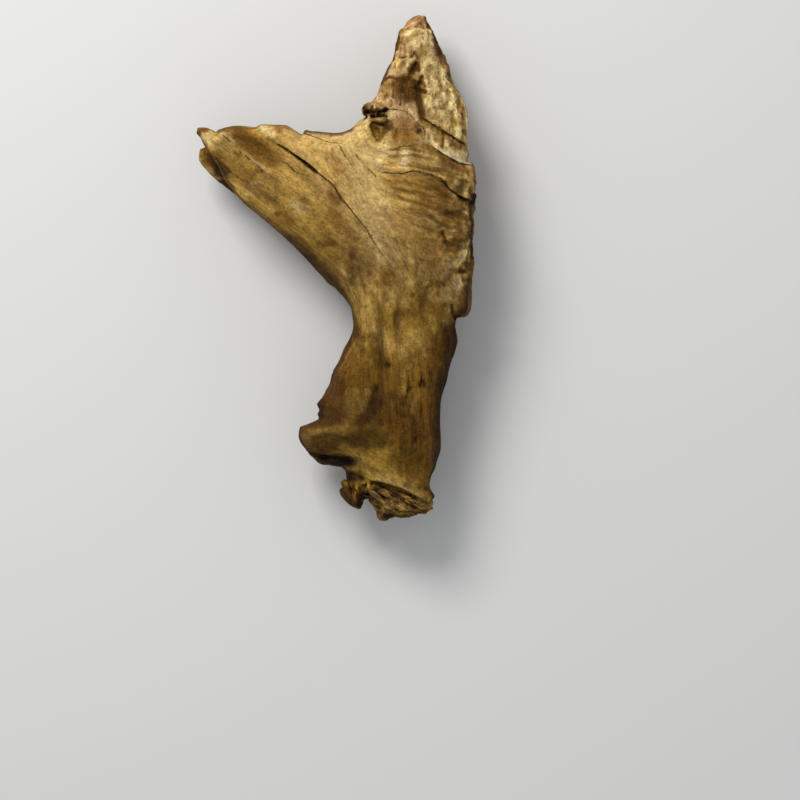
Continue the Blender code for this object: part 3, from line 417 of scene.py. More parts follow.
# Fibres that cross the frayed root end, in the same way.
ROOT_FIBRES = [
    ([(9.7, -68.0, 0.2), (11.5, -69.5, 0.5), (13.1, -71.1, 0.2)], [0.6, 0.8, 0.5]),
    ([(14.3, -68.9, 0.1), (17.1, -70.2, 0.5), (19.0, -71.7, 0.2)], [0.5, 0.8, 0.5]),
    ([(19.3, -69.8, 0.1), (22.4, -71.4, 0.4), (24.6, -72.9, 0.1)], [0.5, 0.8, 0.4]),
    ([(23.3, -72.0, 0.1), (26.4, -73.3, 0.3), (28.6, -74.2, 0.1)], [0.5, 0.7, 0.4]),
    ([(18.4, -72.9, 0.1), (21.1, -74.2, 0.4), (23.6, -75.4, 0.1)], [0.5, 0.8, 0.4]),
    ([(10.9, -69.5, 0.3), (14.6, -72.3, 0.6), (18.4, -75.7, 0.2)], [0.6, 0.6, 0.3]),
    ([(11.8, -71.7, 0.3), (14.6, -74.5, 0.4), (16.2, -76.4, 0.1)], [0.6, 0.5, 0.3]),
    ([(15.3, -71.7, 0.4), (19.6, -74.5, 0.4), (22.7, -76.4, 0.1)], [0.6, 0.6, 0.3]),
    ([(8.4, -66.7, 0.2), (9.4, -68.9, 0.4), (10.9, -71.1, 0.1)], [0.6, 0.6, 0.4]),
    ([(2.9, -67.1, 0.2), (4.1, -70.2, 0.4), (5.6, -72.9, 0.1)], [0.7, 0.7, 0.4]),
    ([(6.0, -66.4, 0.2), (6.3, -69.5, 0.4), (5.0, -72.6, 0.1)], [0.6, 0.6, 0.4]),
]

# The upper edge of the bed of loose fibres at the root end.
FIBRE_EDGE = [(7.8, -66.4), (10.9, -67.7), (15.9, -68.6), (22.7, -70.8), (28.9, -73.9)]

# The lumpy skin of the right side begins between these two places across.
LUMPS_ACROSS = (27.3, 34.7)

# The pitted part of the blade lies along this line, and the blotchy skin of the waist round this place.
PITTED_LINE = [(23.3, 73.7), (34.5, 44.2)]
WAIST = (19.6, -11.6)
WAIST_REACH = 27.9

# How the fine grain lies: lines that it rules, how far, and its direction.
GRAIN = {
    "upright": ([
        [(25.2, 76.8), (30.8, 44.2)], [(14.9, -19.3), (19.0, -34.8), (20.8, -59.6)],
    ], 11.0, 95.0),
    "level": ([
        [(18.0, 34.0), (39.7, 27.2)], [(22.7, 21.0), (32.0, 13.2)], [(-11.4, -52.5), (4.1, -53.4)],
    ], 8.0, 163.0),
    "slanted": ([[(-37.8, 36.5), (-0.6, 10.1)], [(8.7, -62.7), (28.9, -72.6)]], 10.0, 145.0),
    "steep": ([[(2.5, 33.4), (18.0, 1.8)], [(28.9, 5.5), (21.1, -13.1)]], 8.0, 124.0),
    "leaning": ([[(4.1, -25.5), (-4.6, -45.7)]], 6.0, 66.0),
}

# Colours of the wood, as red, green and blue from 0 to 255; pitch, bark and umber also serve as painted
# shade.
PALETTE = {
    "bone": (222, 206, 164), "cream": (202, 178, 124), "sand": (190, 160, 100), "gold": (170, 136, 64),
    "straw": (190, 153, 78), "ochre": (150, 114, 44), "tan": (162, 128, 68), "rose": (190, 155, 112),
    "hazel": (116, 83, 26), "umber": (88, 59, 18), "olive": (74, 55, 12), "bark": (52, 33, 12),
    "rust": (120, 76, 42), "pitch": (26, 15, 10),
}

# Where each colour rules: the wood's broad tones, blended softly from place to place.
TONES = [
    ("rose", (25.8, 75.5)), ("cream", (22.1, 70.6)), ("cream", (28.3, 69.0)), ("cream", (22.1, 64.4)),
    ("cream", (28.9, 61.3)), ("cream", (32.0, 53.5)), ("cream", (35.7, 43.3)), ("rose", (16.5, 53.5)),
    ("rose", (12.8, 51.1)), ("sand", (7.8, 43.3)), ("sand", (2.5, 39.0)), ("cream", (17.1, 46.1)),
    ("tan", (22.1, 41.4)), ("cream", (32.0, 37.4)), ("sand", (14.9, 36.5)), ("sand", (20.2, 33.4)),
    ("tan", (28.9, 32.5)), ("sand", (37.6, 27.8)), ("sand", (-41.5, 40.8)), ("straw", (-35.6, 35.9)),
    ("straw", (-38.1, 30.9)), ("ochre", (-29.1, 40.8)), ("ochre", (-21.3, 37.1)), ("sand", (-15.1, 41.1)),
    ("sand", (-8.9, 37.1)), ("straw", (-30.0, 27.8)), ("straw", (-23.2, 25.6)), ("straw", (-14.5, 29.7)),
    ("straw", (-12.6, 19.4)), ("gold", (-20.7, 17.9)), ("tan", (-3.7, 34.9)), ("tan", (-1.5, 26.6)),
    ("gold", (-4.6, 12.3)), ("gold", (1.0, 4.9)), ("gold", (-9.9, 8.0)), ("sand", (4.7, 22.5)),
    ("sand", (9.7, 16.3)), ("sand", (14.0, 5.5)), ("tan", (6.6, -4.4)), ("tan", (12.8, -10.6)),
    ("tan", (21.1, 24.7)), ("tan", (31.4, 19.4)), ("tan", (24.2, 8.6)), ("tan", (34.5, 1.8)),
    ("tan", (28.3, -5.4)), ("gold", (20.2, -10.0)), ("sand", (38.8, -6.9)), ("gold", (20.2, -20.9)),
    ("tan", (13.4, -19.9)), ("ochre", (28.3, -18.7)), ("umber", (34.2, -24.0)), ("hazel", (4.7, -24.0)),
    ("hazel", (9.7, -32.3)), ("hazel", (19.0, -34.8)), ("hazel", (27.3, -34.2)), ("umber", (32.0, -42.6)),
    ("umber", (19.6, -47.2)), ("umber", (26.4, -53.4)), ("umber", (3.5, -41.0)), ("bark", (-2.1, -42.6)),
    ("olive", (9.1, -43.5)), ("olive", (4.7, -52.2)), ("olive", (-0.9, -55.3)), ("umber", (-8.9, -52.5)),
    ("ochre", (4.7, -58.4)), ("ochre", (12.8, -60.2)), ("olive", (21.1, -60.2)), ("hazel", (27.7, -62.7)),
    ("gold", (10.9, -64.0)), ("ochre", (20.2, -68.9)), ("hazel", (27.3, -71.4)), ("umber", (3.8, -69.5)),
]

# Stains and pale places painted over the broad tones, with painted shade and painted highlights among them,
# in order: colour, strength, half-width and a line.
STROKES = {
    "blade": [
        ("rust", 0.7, 1.4, [(25.2, 76.8), (27.0, 76.2)]),
        ("rust", 0.5, 1.0, [(22.1, 75.5), (19.6, 71.8)]),
        ("umber", 0.7, 0.5, [(28.0, 76.5), (29.5, 73.7), (31.4, 70.0)]),
        ("bark", 0.95, 1.7, [(32.0, 68.4), (32.6, 65.6)]),
        ("bark", 0.5, 1.8, [(30.8, 66.9), (32.9, 63.8)]),
        ("rust", 0.7, 1.7, [(33.2, 64.1), (34.2, 61.9)]),
        ("bark", 0.7, 0.6, [(34.5, 63.1), (35.2, 58.8)]),
        ("rust", 0.55, 1.8, [(19.9, 69.0), (19.3, 65.6)]),
        ("umber", 0.6, 0.7, [(19.3, 65.3), (20.8, 64.7)]),
        ("rose", 0.8, 2.2, [(20.2, 66.9), (18.7, 62.5), (17.4, 59.7)]),
        ("tan", 0.6, 1.2, [(18.7, 63.8), (20.5, 62.5)]),
        ("umber", 0.6, 0.5, [(23.5, 65.2), (24.1, 66.6), (25.1, 64.7)]),
        ("umber", 0.95, 0.7, [(24.7, 63.1), (23.6, 61.0), (22.5, 59.4)]),
        ("umber", 0.95, 0.8, [(24.7, 62.8), (25.3, 61.1)]),
        ("bark", 0.8, 0.6, [(24.7, 62.5), (24.7, 61.3)]),
        ("umber", 0.9, 0.6, [(26.4, 59.0), (25.8, 57.3), (25.0, 55.7)]),
        ("bark", 0.9, 0.7, [(25.0, 56.6), (25.6, 54.8), (27.2, 54.2)]),
        ("umber", 0.8, 0.6, [(27.0, 56.9), (27.5, 53.8)]),
        ("umber", 0.5, 0.6, [(33.9, 50.4), (32.9, 48.9)]),
        ("hazel", 0.5, 1.2, [(35.7, 45.2), (38.2, 44.2)]),
        ("rust", 0.8, 0.7, [(38.5, 48.9), (38.7, 46.1)]),
        ("rust", 0.6, 0.9, [(39.1, 46.4), (39.6, 41.4)]),
        ("bone", 0.8, 0.4, [(40.1, 46.4), (40.2, 42.7)]),
    ],
    "cap": [
        ("rose", 0.85, 3.0, [(14.6, 52.9), (19.0, 50.1), (23.3, 48.6)]),
        ("rose", 0.5, 1.6, [(15.3, 55.7), (16.5, 52.6)]),
        ("umber", 0.85, 2.6, [(19.0, 56.3), (20.2, 54.5)]),
        ("umber", 0.9, 3.2, [(22.1, 56.6), (23.0, 53.2)]),
        ("rust", 0.6, 0.6, [(18.4, 56.3), (18.7, 51.4)]),
        ("bark", 0.7, 0.35, [(21.3, 56.9), (21.0, 51.1)]),
        ("bark", 0.7, 0.35, [(22.4, 56.9), (22.5, 52.3)]),
        ("bark", 0.6, 0.3, [(23.3, 56.3), (23.6, 52.0)]),
        ("bark", 0.75, 0.4, [(20.2, 56.9), (19.6, 50.1)]),
        ("bark", 0.6, 0.3, [(17.7, 56.9), (17.4, 52.6)]),
        # Painted shadow under the raised blade plate, along the cap's top edge and down its right side.
        ("bark", 0.85, 0.6, [(15.3, 58.2), (16.8, 58.8), (19.0, 58.2)]),
        ("bark", 0.9, 0.8, [(19.0, 58.2), (20.8, 58.0), (22.4, 58.5), (23.6, 57.6)]),
        ("bark", 0.85, 1.2, [(23.9, 56.9), (24.9, 54.5), (25.3, 52.0)]),
        ("bark", 0.9, 1.2, [(25.3, 52.0), (25.9, 48.9), (26.3, 46.1)]),
        ("hazel", 0.7, 1.2, [(14.6, 56.6), (16.5, 55.7)]),
        ("hazel", 0.5, 1.2, [(13.7, 54.5), (15.9, 53.5)]),
        ("umber", 0.7, 0.4, [(16.9, 51.5), (16.9, 49.8)]),
        ("umber", 0.5, 0.5, [(15.6, 53.8), (14.6, 51.7)]),
        ("bone", 0.6, 0.7, [(22.1, 50.4), (22.4, 48.0)]),
    ],
    "knot": [
        ("cream", 0.9, 1.6, [(14.9, 47.6), (19.0, 47.6), (21.1, 46.7)]),
        ("rust", 0.5, 0.9, [(9.4, 50.1), (12.8, 50.3), (14.3, 49.7)]),
        ("bark", 0.8, 0.8, [(8.6, 49.2), (9.1, 47.3)]), ("umber", 0.8, 0.9, [(8.3, 49.8), (9.1, 50.6)]),
        ("tan", 0.6, 0.9, [(10.6, 50.9), (12.8, 50.4)]),
        # Painted shade: black under the knot's upper stub.
        ("pitch", 0.95, 0.65, [(9.1, 47.8), (10.9, 48.0), (12.8, 47.8)]),
        ("pitch", 0.95, 0.55, [(12.8, 48.1), (14.3, 48.4), (15.6, 48.7)]),
        ("bark", 0.9, 0.5, [(8.4, 49.5), (8.7, 47.0)]),
        ("bark", 0.85, 0.45, [(10.6, 44.5), (12.8, 44.4), (14.6, 44.1)]),
        ("rust", 0.7, 0.5, [(10.3, 48.9), (10.8, 47.0)]),
        ("rust", 0.7, 0.45, [(12.0, 48.9), (12.3, 46.7)]),
        ("umber", 0.75, 0.9, [(10.9, 45.5), (13.4, 45.6), (15.9, 44.9)]),
        ("rose", 0.5, 0.35, [(12.2, 45.5), (14.6, 45.3)]),
        ("bark", 0.8, 0.45, [(10.6, 46.6), (13.4, 46.7), (15.3, 46.4)]),
        ("bark", 0.9, 1.1, [(15.3, 44.5), (15.3, 43.0)]),
        ("bark", 0.9, 0.6, [(14.9, 43.0), (14.2, 40.8), (13.4, 38.8)]),
        ("umber", 0.5, 1.6, [(15.6, 43.9), (14.6, 41.8)]),
        ("cream", 0.8, 1.1, [(9.4, 46.4), (9.5, 43.6)]),
        ("ochre", 0.8, 1.8, [(11.5, 43.9), (12.2, 41.4), (12.8, 39.6)]),
        ("hazel", 0.6, 0.9, [(13.1, 42.1), (13.1, 39.3)]),
    ],
    "collar": [
        ("rust", 0.5, 4.0, [(19.6, 43.3), (24.6, 41.8)]),
        ("hazel", 0.55, 2.6, [(19.0, 40.2), (23.9, 39.3)]),
        ("pitch", 0.85, 0.8, [(25.2, 41.6), (26.3, 42.4)]),
        ("rust", 0.5, 1.2, [(21.1, 45.5), (20.8, 43.6)]),
        ("umber", 0.5, 0.6, [(18.4, 41.4), (17.9, 39.9)]),
        ("bone", 0.7, 0.6, [(22.7, 47.6), (25.6, 44.5), (26.7, 42.4)]),
        ("bone", 0.5, 1.8, [(27.0, 39.6), (27.0, 37.4)]),
        ("umber", 0.75, 1.1, [(28.0, 44.4), (30.8, 42.4), (33.9, 40.5)]),
        ("umber", 0.75, 1.0, [(33.9, 40.4), (37.0, 38.8), (40.7, 36.8)]),
        ("rose", 0.6, 2.2, [(33.9, 38.7), (39.4, 36.2)]),
        ("rust", 0.45, 0.8, [(34.8, 39.0), (38.2, 37.1)]),
        ("cream", 0.7, 2.2, [(29.2, 40.5), (33.2, 36.5)]),
        ("bone", 0.6, 1.4, [(34.2, 35.9), (39.4, 33.4)]),
        ("bark", 0.8, 0.4, [(32.8, 41.1), (32.6, 37.1)]),
        # A painted highlight along the shelf's raised edge, with painted shadow below it in the next stroke.
        ("bone", 0.85, 0.5, [
            (27.0, 39.1), (30.0, 36.9), (32.9, 35.4), (35.7, 33.8), (38.2, 32.6), (41.9, 32.3),
        ]),
        ("hazel", 0.8, 1.2, [(27.0, 37.4), (30.8, 35.1), (33.9, 32.9)]),
        ("umber", 0.6, 1.0, [(33.2, 33.1), (36.6, 31.2), (40.7, 29.7)]),
        ("umber", 0.6, 1.3, [(32.0, 31.5), (33.2, 30.3)]),
        ("umber", 0.5, 0.8, [(24.2, 34.9), (25.8, 34.0)]),
        ("hazel", 0.5, 1.6, [(19.0, 36.5), (25.2, 35.9)]),
        ("hazel", 0.45, 1.2, [(14.9, 32.5), (25.8, 31.5), (32.0, 29.7)]),
        ("bone", 0.8, 1.4, [(21.5, 35.9), (20.4, 31.8)]),
        ("cream", 0.7, 1.8, [(14.3, 37.1), (12.5, 32.5)]),
        ("hazel", 0.2, 2.4, [(38.8, 28.4), (35.7, 26.6)]),
        ("cream", 0.6, 1.3, [(36.6, 25.0), (40.1, 23.5)]),
        ("olive", 0.5, 1.0, [(39.1, 26.3), (37.6, 23.2)]),
        ("hazel", 0.6, 0.8, [(33.5, 25.9), (36.6, 21.6), (40.7, 19.7)]),
        # Painted highlights on the lit lower lip of the collar crack.
        ("rose", 0.8, 0.45, [(20.8, 28.2), (25.2, 28.9), (29.5, 27.6), (32.3, 26.4)]),
        ("rose", 0.8, 0.5, [(34.3, 23.9), (36.5, 21.5), (37.8, 19.6), (40.1, 17.4)]),
    ],
    "bands": [
        ("umber", 0.55, 0.35, [(16.5, 36.2), (22.1, 36.6), (27.0, 35.6)]),
        ("umber", 0.5, 0.35, [(15.9, 34.0), (23.3, 34.6), (30.8, 32.8)]),
        ("cream", 0.5, 0.35, [(15.3, 35.1), (22.7, 35.6), (28.9, 34.3)]),
        ("umber", 0.5, 0.35, [(14.6, 31.7), (22.1, 31.2), (31.4, 29.7)]),
        ("cream", 0.45, 0.35, [(15.3, 32.8), (22.7, 32.8), (32.0, 30.9)]),
        ("rust", 0.6, 0.8, [(33.9, 31.8), (38.8, 30.0)]),
        ("cream", 0.45, 0.35, [(23.3, 30.3), (31.4, 28.7), (35.7, 25.9)]),
        ("umber", 0.55, 0.4, [(34.5, 29.7), (37.6, 27.2), (41.3, 25.9)]),
        ("umber", 0.55, 0.4, [(15.9, 26.6), (23.3, 25.9), (32.0, 23.2)]),
        ("cream", 0.45, 0.35, [(16.5, 25.3), (23.3, 24.7), (31.4, 21.9)]),
        ("umber", 0.5, 0.35, [(17.1, 24.1), (23.9, 23.2), (32.0, 20.4)]),
        ("cream", 0.4, 0.35, [(18.4, 22.8), (24.6, 21.8), (31.4, 18.8)]),
        ("umber", 0.55, 0.4, [(19.0, 21.6), (25.8, 19.7), (33.2, 16.6)]),
        ("cream", 0.5, 0.35, [(20.2, 20.1), (27.0, 18.2), (33.2, 15.1)]),
        ("umber", 0.5, 0.4, [(20.8, 18.2), (27.7, 16.0), (34.5, 12.6)]),
        ("cream", 0.45, 0.35, [(22.1, 16.0), (28.3, 14.2), (33.2, 11.7)]),
        ("umber", 0.45, 0.4, [(22.1, 14.2), (28.9, 11.4), (33.2, 9.8)]),
        ("umber", 0.4, 0.4, [(17.7, 8.6), (23.3, 4.9), (27.0, 1.8)]),
    ],
    "curl": [
        ("hazel", 0.45, 3.5, [(19.0, 26.6), (30.8, 25.3)]),
        ("hazel", 0.5, 4.0, [(27.3, 19.4), (34.5, 14.2)]),
        ("umber", 0.5, 1.6, [(31.4, 24.1), (34.5, 21.0)]),
        ("umber", 0.5, 2.2, [(33.9, 7.0), (37.0, 5.5)]), ("umber", 0.6, 1.5, [(35.4, 9.8), (37.3, 7.3)]),
        ("cream", 0.6, 1.2, [(35.7, 11.7), (38.8, 12.9), (40.4, 11.1)]),
        ("cream", 0.85, 1.4, [(39.3, 7.0), (39.1, 3.6)]), ("umber", 0.6, 0.5, [(37.3, 8.3), (40.1, 8.4)]),
        ("cream", 0.7, 1.6, [(37.9, 1.8), (35.1, 0.5)]), ("bark", 0.85, 0.6, [(32.7, 10.6), (33.9, 8.0)]),
        ("bark", 0.9, 0.7, [(37.9, -0.9), (39.1, -1.1)]),
        ("bark", 0.85, 0.6, [(40.1, 1.1), (40.2, -0.4)]), ("umber", 0.8, 0.6, [(39.6, -3.8)]),
        ("umber", 0.6, 1.3, [(30.1, -5.4), (33.2, -5.1)]), ("bark", 0.7, 0.6, [(33.0, -5.3)]),
        ("umber", 0.7, 0.7, [(31.1, -8.2)]), ("umber", 0.85, 0.7, [(23.5, -8.7)]),
        ("hazel", 0.6, 2.0, [(25.2, -10.0), (22.7, -14.0)]),
        ("hazel", 0.6, 2.2, [(27.0, -10.9), (30.1, -13.7)]),
        ("rust", 0.45, 0.7, [(40.7, 14.2), (40.9, 8.6)]),
        ("cream", 0.45, 1.8, [(33.9, -0.1), (37.0, -6.9)]),
        ("umber", 0.5, 0.7, [(36.6, 14.2), (38.5, 12.3)]),
        ("olive", 0.5, 1.2, [(41.0, -0.1), (40.4, -6.9)]),
        ("umber", 0.8, 2.0, [(40.1, -7.8), (38.8, -14.0)]),
        ("bark", 0.85, 1.2, [(41.3, -3.8), (40.4, -12.5), (37.9, -15.6)]),
        ("bark", 0.7, 0.6, [(35.4, -11.9), (36.0, -14.4), (37.6, -15.6)]),
        ("cream", 0.6, 0.5, [(28.9, 17.3), (32.0, 14.8)]),
        ("cream", 0.6, 0.4, [(27.7, 15.1), (30.8, 12.3)]),
        ("umber", 0.6, 0.45, [(28.9, 16.0), (32.3, 13.2)]),
        ("cream", 0.6, 0.7, [(34.5, 9.2), (37.6, 10.1)]), ("bark", 0.6, 0.5, [(33.5, 8.6), (34.2, 6.7)]),
        ("cream", 0.7, 0.5, [(34.2, 24.1), (37.6, 20.1), (40.1, 16.6)]),
        ("umber", 0.6, 0.8, [(36.6, -0.7), (34.8, -2.9)]),
        ("cream", 0.6, 0.6, [(34.2, -2.6), (36.6, 1.8)]),
        ("bark", 0.6, 0.6, [(37.0, -1.6), (39.4, -1.3)]),
        ("cream", 0.55, 0.8, [(37.9, -3.2), (36.0, -6.9), (33.9, -10.0)]),
        ("umber", 0.5, 0.5, [(40.1, 13.5), (40.4, 9.2)]),
    ],
    "centre": [
        ("hazel", 0.6, 1.5, [(14.3, -1.3), (17.1, -2.3)]),
        ("hazel", 0.55, 1.2, [(12.8, -5.1), (14.6, -3.8)]), ("umber", 0.5, 0.6, [(9.1, -5.7)]),
        ("umber", 0.5, 0.5, [(14.5, -8.3)]),
        ("cream", 0.2, 4.5, [(4.1, 36.5), (9.7, 25.6), (12.8, 16.3)]),
        ("cream", 0.4, 3.0, [(10.9, 10.1), (14.9, 3.0)]), ("tan", 0.5, 2.0, [(1.0, 31.5), (-0.9, 28.4)]),
        ("rust", 0.35, 1.6, [(0.4, 29.7)]), ("umber", 0.6, 0.6, [(-1.2, 36.3)]),
        ("umber", 0.5, 0.5, [(-3.0, 34.0), (-2.9, 33.1)]),
        ("umber", 0.5, 0.5, [(-1.3, 34.9), (-0.9, 33.1)]), ("hazel", 0.5, 0.5, [(4.4, 25.0)]),
        ("hazel", 0.5, 2.2, [(19.0, -14.4), (14.6, -15.3)]),
        ("gold", 0.5, 5.0, [(7.2, -10.0), (14.9, -16.8)]),
    ],
    "arm": [
        ("rust", 0.9, 1.1, [(-43.0, 42.4), (-40.5, 42.8)]),
        ("umber", 0.7, 1.2, [(-43.3, 42.4), (-40.9, 43.0)]),
        ("umber", 0.7, 0.7, [(-42.7, 41.4), (-41.2, 39.3)]),
        ("umber", 0.8, 0.6, [(-37.1, 42.5), (-33.7, 43.2), (-30.6, 43.8)]),
        ("cream", 0.8, 0.9, [(-41.5, 40.5), (-38.7, 38.0)]),
        ("cream", 0.6, 1.3, [(-39.9, 41.1), (-35.0, 37.4), (-31.9, 35.6)]),
        ("umber", 0.5, 1.8, [(-34.3, 42.8), (-28.1, 41.8)]),
        ("umber", 0.85, 1.4, [(-30.6, 43.0), (-28.1, 39.9), (-26.3, 39.3)]),
        ("bark", 0.5, 0.8, [(-31.2, 40.5), (-27.8, 39.3)]),
        ("umber", 0.7, 2.4, [(-30.6, 40.5), (-25.0, 36.5)]),
        ("umber", 0.5, 2.8, [(-26.3, 37.7), (-19.5, 32.8)]),
        ("umber", 0.5, 1.4, [(-24.4, 38.7), (-21.3, 36.5)]),
        ("umber", 0.5, 1.4, [(-21.9, 34.6), (-19.5, 32.5)]),
        ("umber", 0.4, 1.2, [(-27.5, 34.6), (-23.2, 30.9)]),
        ("cream", 0.6, 0.8, [(-29.7, 36.2), (-25.7, 32.8), (-21.3, 29.7)]),
        ("bone", 0.5, 0.7, [(-35.6, 41.6), (-31.9, 38.5)]),
        ("bone", 0.6, 1.5, [(-23.2, 43.3), (-20.1, 41.4)]),
        ("tan", 0.3, 3.0, [(-18.8, 42.7), (-11.4, 37.7)]),
        ("rust", 0.7, 0.9, [(-18.5, 43.5), (-17.6, 42.7)]),
        ("rust", 0.7, 0.9, [(-16.4, 44.0), (-15.1, 43.8)]),
        ("umber", 0.5, 0.6, [(-21.3, 39.9), (-19.2, 38.7)]),
        ("gold", 0.6, 4.0, [(-37.4, 34.0), (-30.6, 29.7)]),
        ("ochre", 0.5, 3.4, [(-33.7, 33.4), (-26.9, 28.4)]),
        ("umber", 0.4, 0.8, [(-31.2, 35.2), (-30.3, 34.6)]),
        ("umber", 0.6, 0.5, [(-25.0, 29.7), (-22.9, 29.0)]),
        ("bone", 0.7, 0.35, [(-27.1, 25.8), (-24.4, 26.3), (-22.6, 26.4)]),
        ("cream", 0.5, 0.5, [(-28.1, 22.8), (-25.0, 23.2)]),
        ("cream", 0.75, 1.7, [(-12.6, 19.4), (-10.2, 17.9)]),
        ("bark", 0.6, 0.7, [(-18.8, 16.3), (-17.9, 15.9)]),
        ("umber", 0.55, 1.3, [(-17.3, 16.0), (-13.9, 13.9)]),
        ("umber", 0.7, 1.2, [(-5.2, 6.7), (-1.2, 7.0)]), ("hazel", 0.6, 2.2, [(-1.2, 17.3), (0.4, 13.5)]),
        ("rust", 0.35, 2.0, [(1.0, 16.0), (3.5, 11.1)]), ("hazel", 0.5, 1.8, [(0.4, 21.0), (-1.5, 24.1)]),
        ("umber", 0.55, 1.2, [(-2.1, 22.5), (0.4, 20.1)]),
        ("hazel", 0.5, 1.6, [(-4.0, 12.3), (-2.1, 10.1)]), ("rust", 0.5, 1.5, [(5.0, 5.5), (4.7, 3.0)]),
        ("umber", 0.5, 0.7, [(6.0, 8.6)]), ("hazel", 0.5, 0.8, [(-10.8, 21.0), (-9.5, 20.4)]),
        ("umber", 0.5, 0.5, [(-9.9, 21.0)]), ("tan", 0.5, 2.4, [(-7.7, 27.2), (-4.6, 25.9)]),
        ("rose", 0.4, 1.6, [(-6.4, 27.8), (-3.3, 25.3)]), ("bone", 0.9, 0.5, [(-5.9, 29.5)]),
        # These five lines along the arm's lower edge are painted shade on its underside.
        ("hazel", 0.5, 2.6, [(-17.6, 14.2), (-2.1, 1.8)]),
        ("umber", 0.5, 1.6, [(-12.6, 8.6), (-0.2, -3.8)]),
        ("umber", 0.5, 1.5, [(-26.9, 19.4), (-12.0, 6.4)]),
        ("bark", 0.8, 1.3, [(-23.2, 14.8), (-15.1, 8.6)]),
        ("bark", 0.85, 2.0, [(-15.1, 8.3), (-8.9, 3.0), (-2.7, -3.8), (1.6, -10.0)]),
    ],
    "arm_end": [
        # The pitch and umber strokes here are painted shade in the torn hollow behind the arm's lip.
        ("pitch", 0.85, 2.6, [(-39.3, 33.4), (-35.6, 28.7)]),
        ("umber", 0.8, 1.8, [(-41.5, 36.5), (-40.2, 33.4)]),
        ("tan", 0.5, 0.9, [(-42.1, 35.9), (-41.5, 32.8), (-38.7, 29.7)]),
        ("tan", 0.7, 0.5, [(-38.2, 28.2), (-35.6, 27.6)]),
        ("pitch", 0.8, 1.4, [(-35.6, 26.6), (-32.8, 24.1)]),
    ],
    "waist": [
        ("tan", 0.6, 2.4, [(12.2, -18.1), (15.3, -24.9)]),
        ("tan", 0.6, 3.0, [(20.2, -24.3), (24.6, -21.8)]),
        ("tan", 0.7, 1.2, [(19.0, -25.8), (20.2, -28.0)]),
        ("ochre", 0.5, 4.0, [(18.4, -19.3), (25.8, -18.1)]),
        ("hazel", 0.6, 1.6, [(14.6, -16.2), (16.5, -17.8)]),
        ("umber", 0.5, 1.2, [(18.4, -14.4), (20.5, -15.0)]),
        ("umber", 0.5, 1.4, [(23.0, -14.7), (25.2, -14.0)]),
        # These three bands near the right edge are partly painted shade on the side turned from the light,
        # partly darker wood.
        ("bark", 0.75, 2.2, [(33.9, -19.3), (34.8, -25.5)]),
        ("umber", 0.7, 2.2, [(30.8, -24.0), (32.0, -27.4)]),
        ("bark", 0.55, 2.0, [(35.7, -20.6), (35.1, -28.0)]),
        ("umber", 0.6, 1.8, [(2.5, -12.5), (4.4, -16.2), (5.3, -21.2)]),
        ("rust", 0.2, 1.8, [(0.4, -32.3), (2.9, -28.6)]),
        ("olive", 0.6, 1.6, [(10.9, -21.2), (12.2, -26.1)]),
        ("olive", 0.5, 1.2, [(7.2, -21.8), (7.8, -25.5)]),
    ],
    "trunk": [
        ("bark", 0.9, 0.8, [(15.9, -30.4)]),
        ("bark", 0.8, 0.6, [(25.6, -36.4), (26.4, -35.1), (27.0, -36.7)]),
        ("bark", 0.6, 0.6, [(22.4, -37.3), (21.5, -40.1)]),
        ("bark", 0.6, 1.0, [(20.8, -40.4), (20.5, -42.3)]),
        ("bark", 0.5, 1.2, [(16.5, -39.2), (17.4, -39.8)]),
        ("olive", 0.6, 2.0, [(12.2, -27.4), (14.0, -30.5)]),
        ("bark", 0.6, 2.4, [(12.8, -37.9), (11.5, -41.6)]),
        ("bark", 0.6, 2.0, [(10.9, -42.3), (9.1, -46.0)]),
        ("bark", 0.55, 1.8, [(9.1, -45.4), (6.6, -50.3)]),
        ("bark", 0.5, 1.4, [(14.0, -41.0), (11.5, -45.4)]),
        ("tan", 0.5, 1.2, [(9.7, -38.5), (7.8, -44.1)]),
        ("gold", 0.45, 2.4, [(5.3, -39.8), (4.1, -46.0)]),
        ("rust", 0.2, 3.0, [(2.2, -43.5), (1.0, -47.2)]),
        ("umber", 0.6, 1.4, [(-2.7, -39.8), (-0.2, -42.3)]),
        ("umber", 0.6, 1.6, [(-1.2, -41.6), (-4.6, -46.0)]),
        ("bark", 0.6, 1.2, [(-5.5, -42.9), (-5.2, -46.6)]),
        # These three bands near the right edge are partly painted shade on the side turned from the light,
        # partly darker wood.
        ("umber", 0.5, 2.6, [(30.8, -32.3), (31.4, -44.1)]),
        ("bark", 0.7, 1.8, [(33.9, -30.5), (32.0, -37.9), (31.4, -50.3)]),
        ("bark", 0.6, 1.6, [(31.7, -50.3), (30.8, -58.4)]),
        ("rust", 0.15, 2.0, [(28.3, -53.4), (27.7, -62.7)]),
        ("tan", 0.4, 1.0, [(20.5, -32.3), (20.5, -38.5)]),
        ("tan", 0.4, 1.0, [(24.9, -39.8), (23.3, -44.7)]),
        ("bark", 0.9, 0.55, [(24.4, -52.9), (24.5, -53.9)]), ("bark", 0.7, 0.5, [(14.0, -48.6)]),
        ("bark", 0.6, 0.5, [(23.8, -50.6)]), ("umber", 0.5, 0.6, [(24.2, -46.6), (25.2, -49.7)]),
        ("rust", 0.4, 0.6, [(29.5, -37.6)]),
    ],
    "nose": [
        ("bark", 0.7, 2.0, [(10.9, -51.2), (14.0, -53.7)]),
        ("olive", 0.8, 2.8, [(1.0, -52.8), (12.8, -53.4)]),
        ("bark", 0.5, 1.8, [(3.5, -52.2), (9.1, -55.3)]),
        ("bark", 0.5, 1.6, [(-1.5, -55.3), (2.9, -57.1)]),
        ("umber", 0.6, 1.8, [(-3.3, -54.7), (-0.9, -57.1)]),
        ("gold", 0.75, 1.5, [(-7.7, -50.9), (-2.1, -50.6), (2.9, -49.4)]),
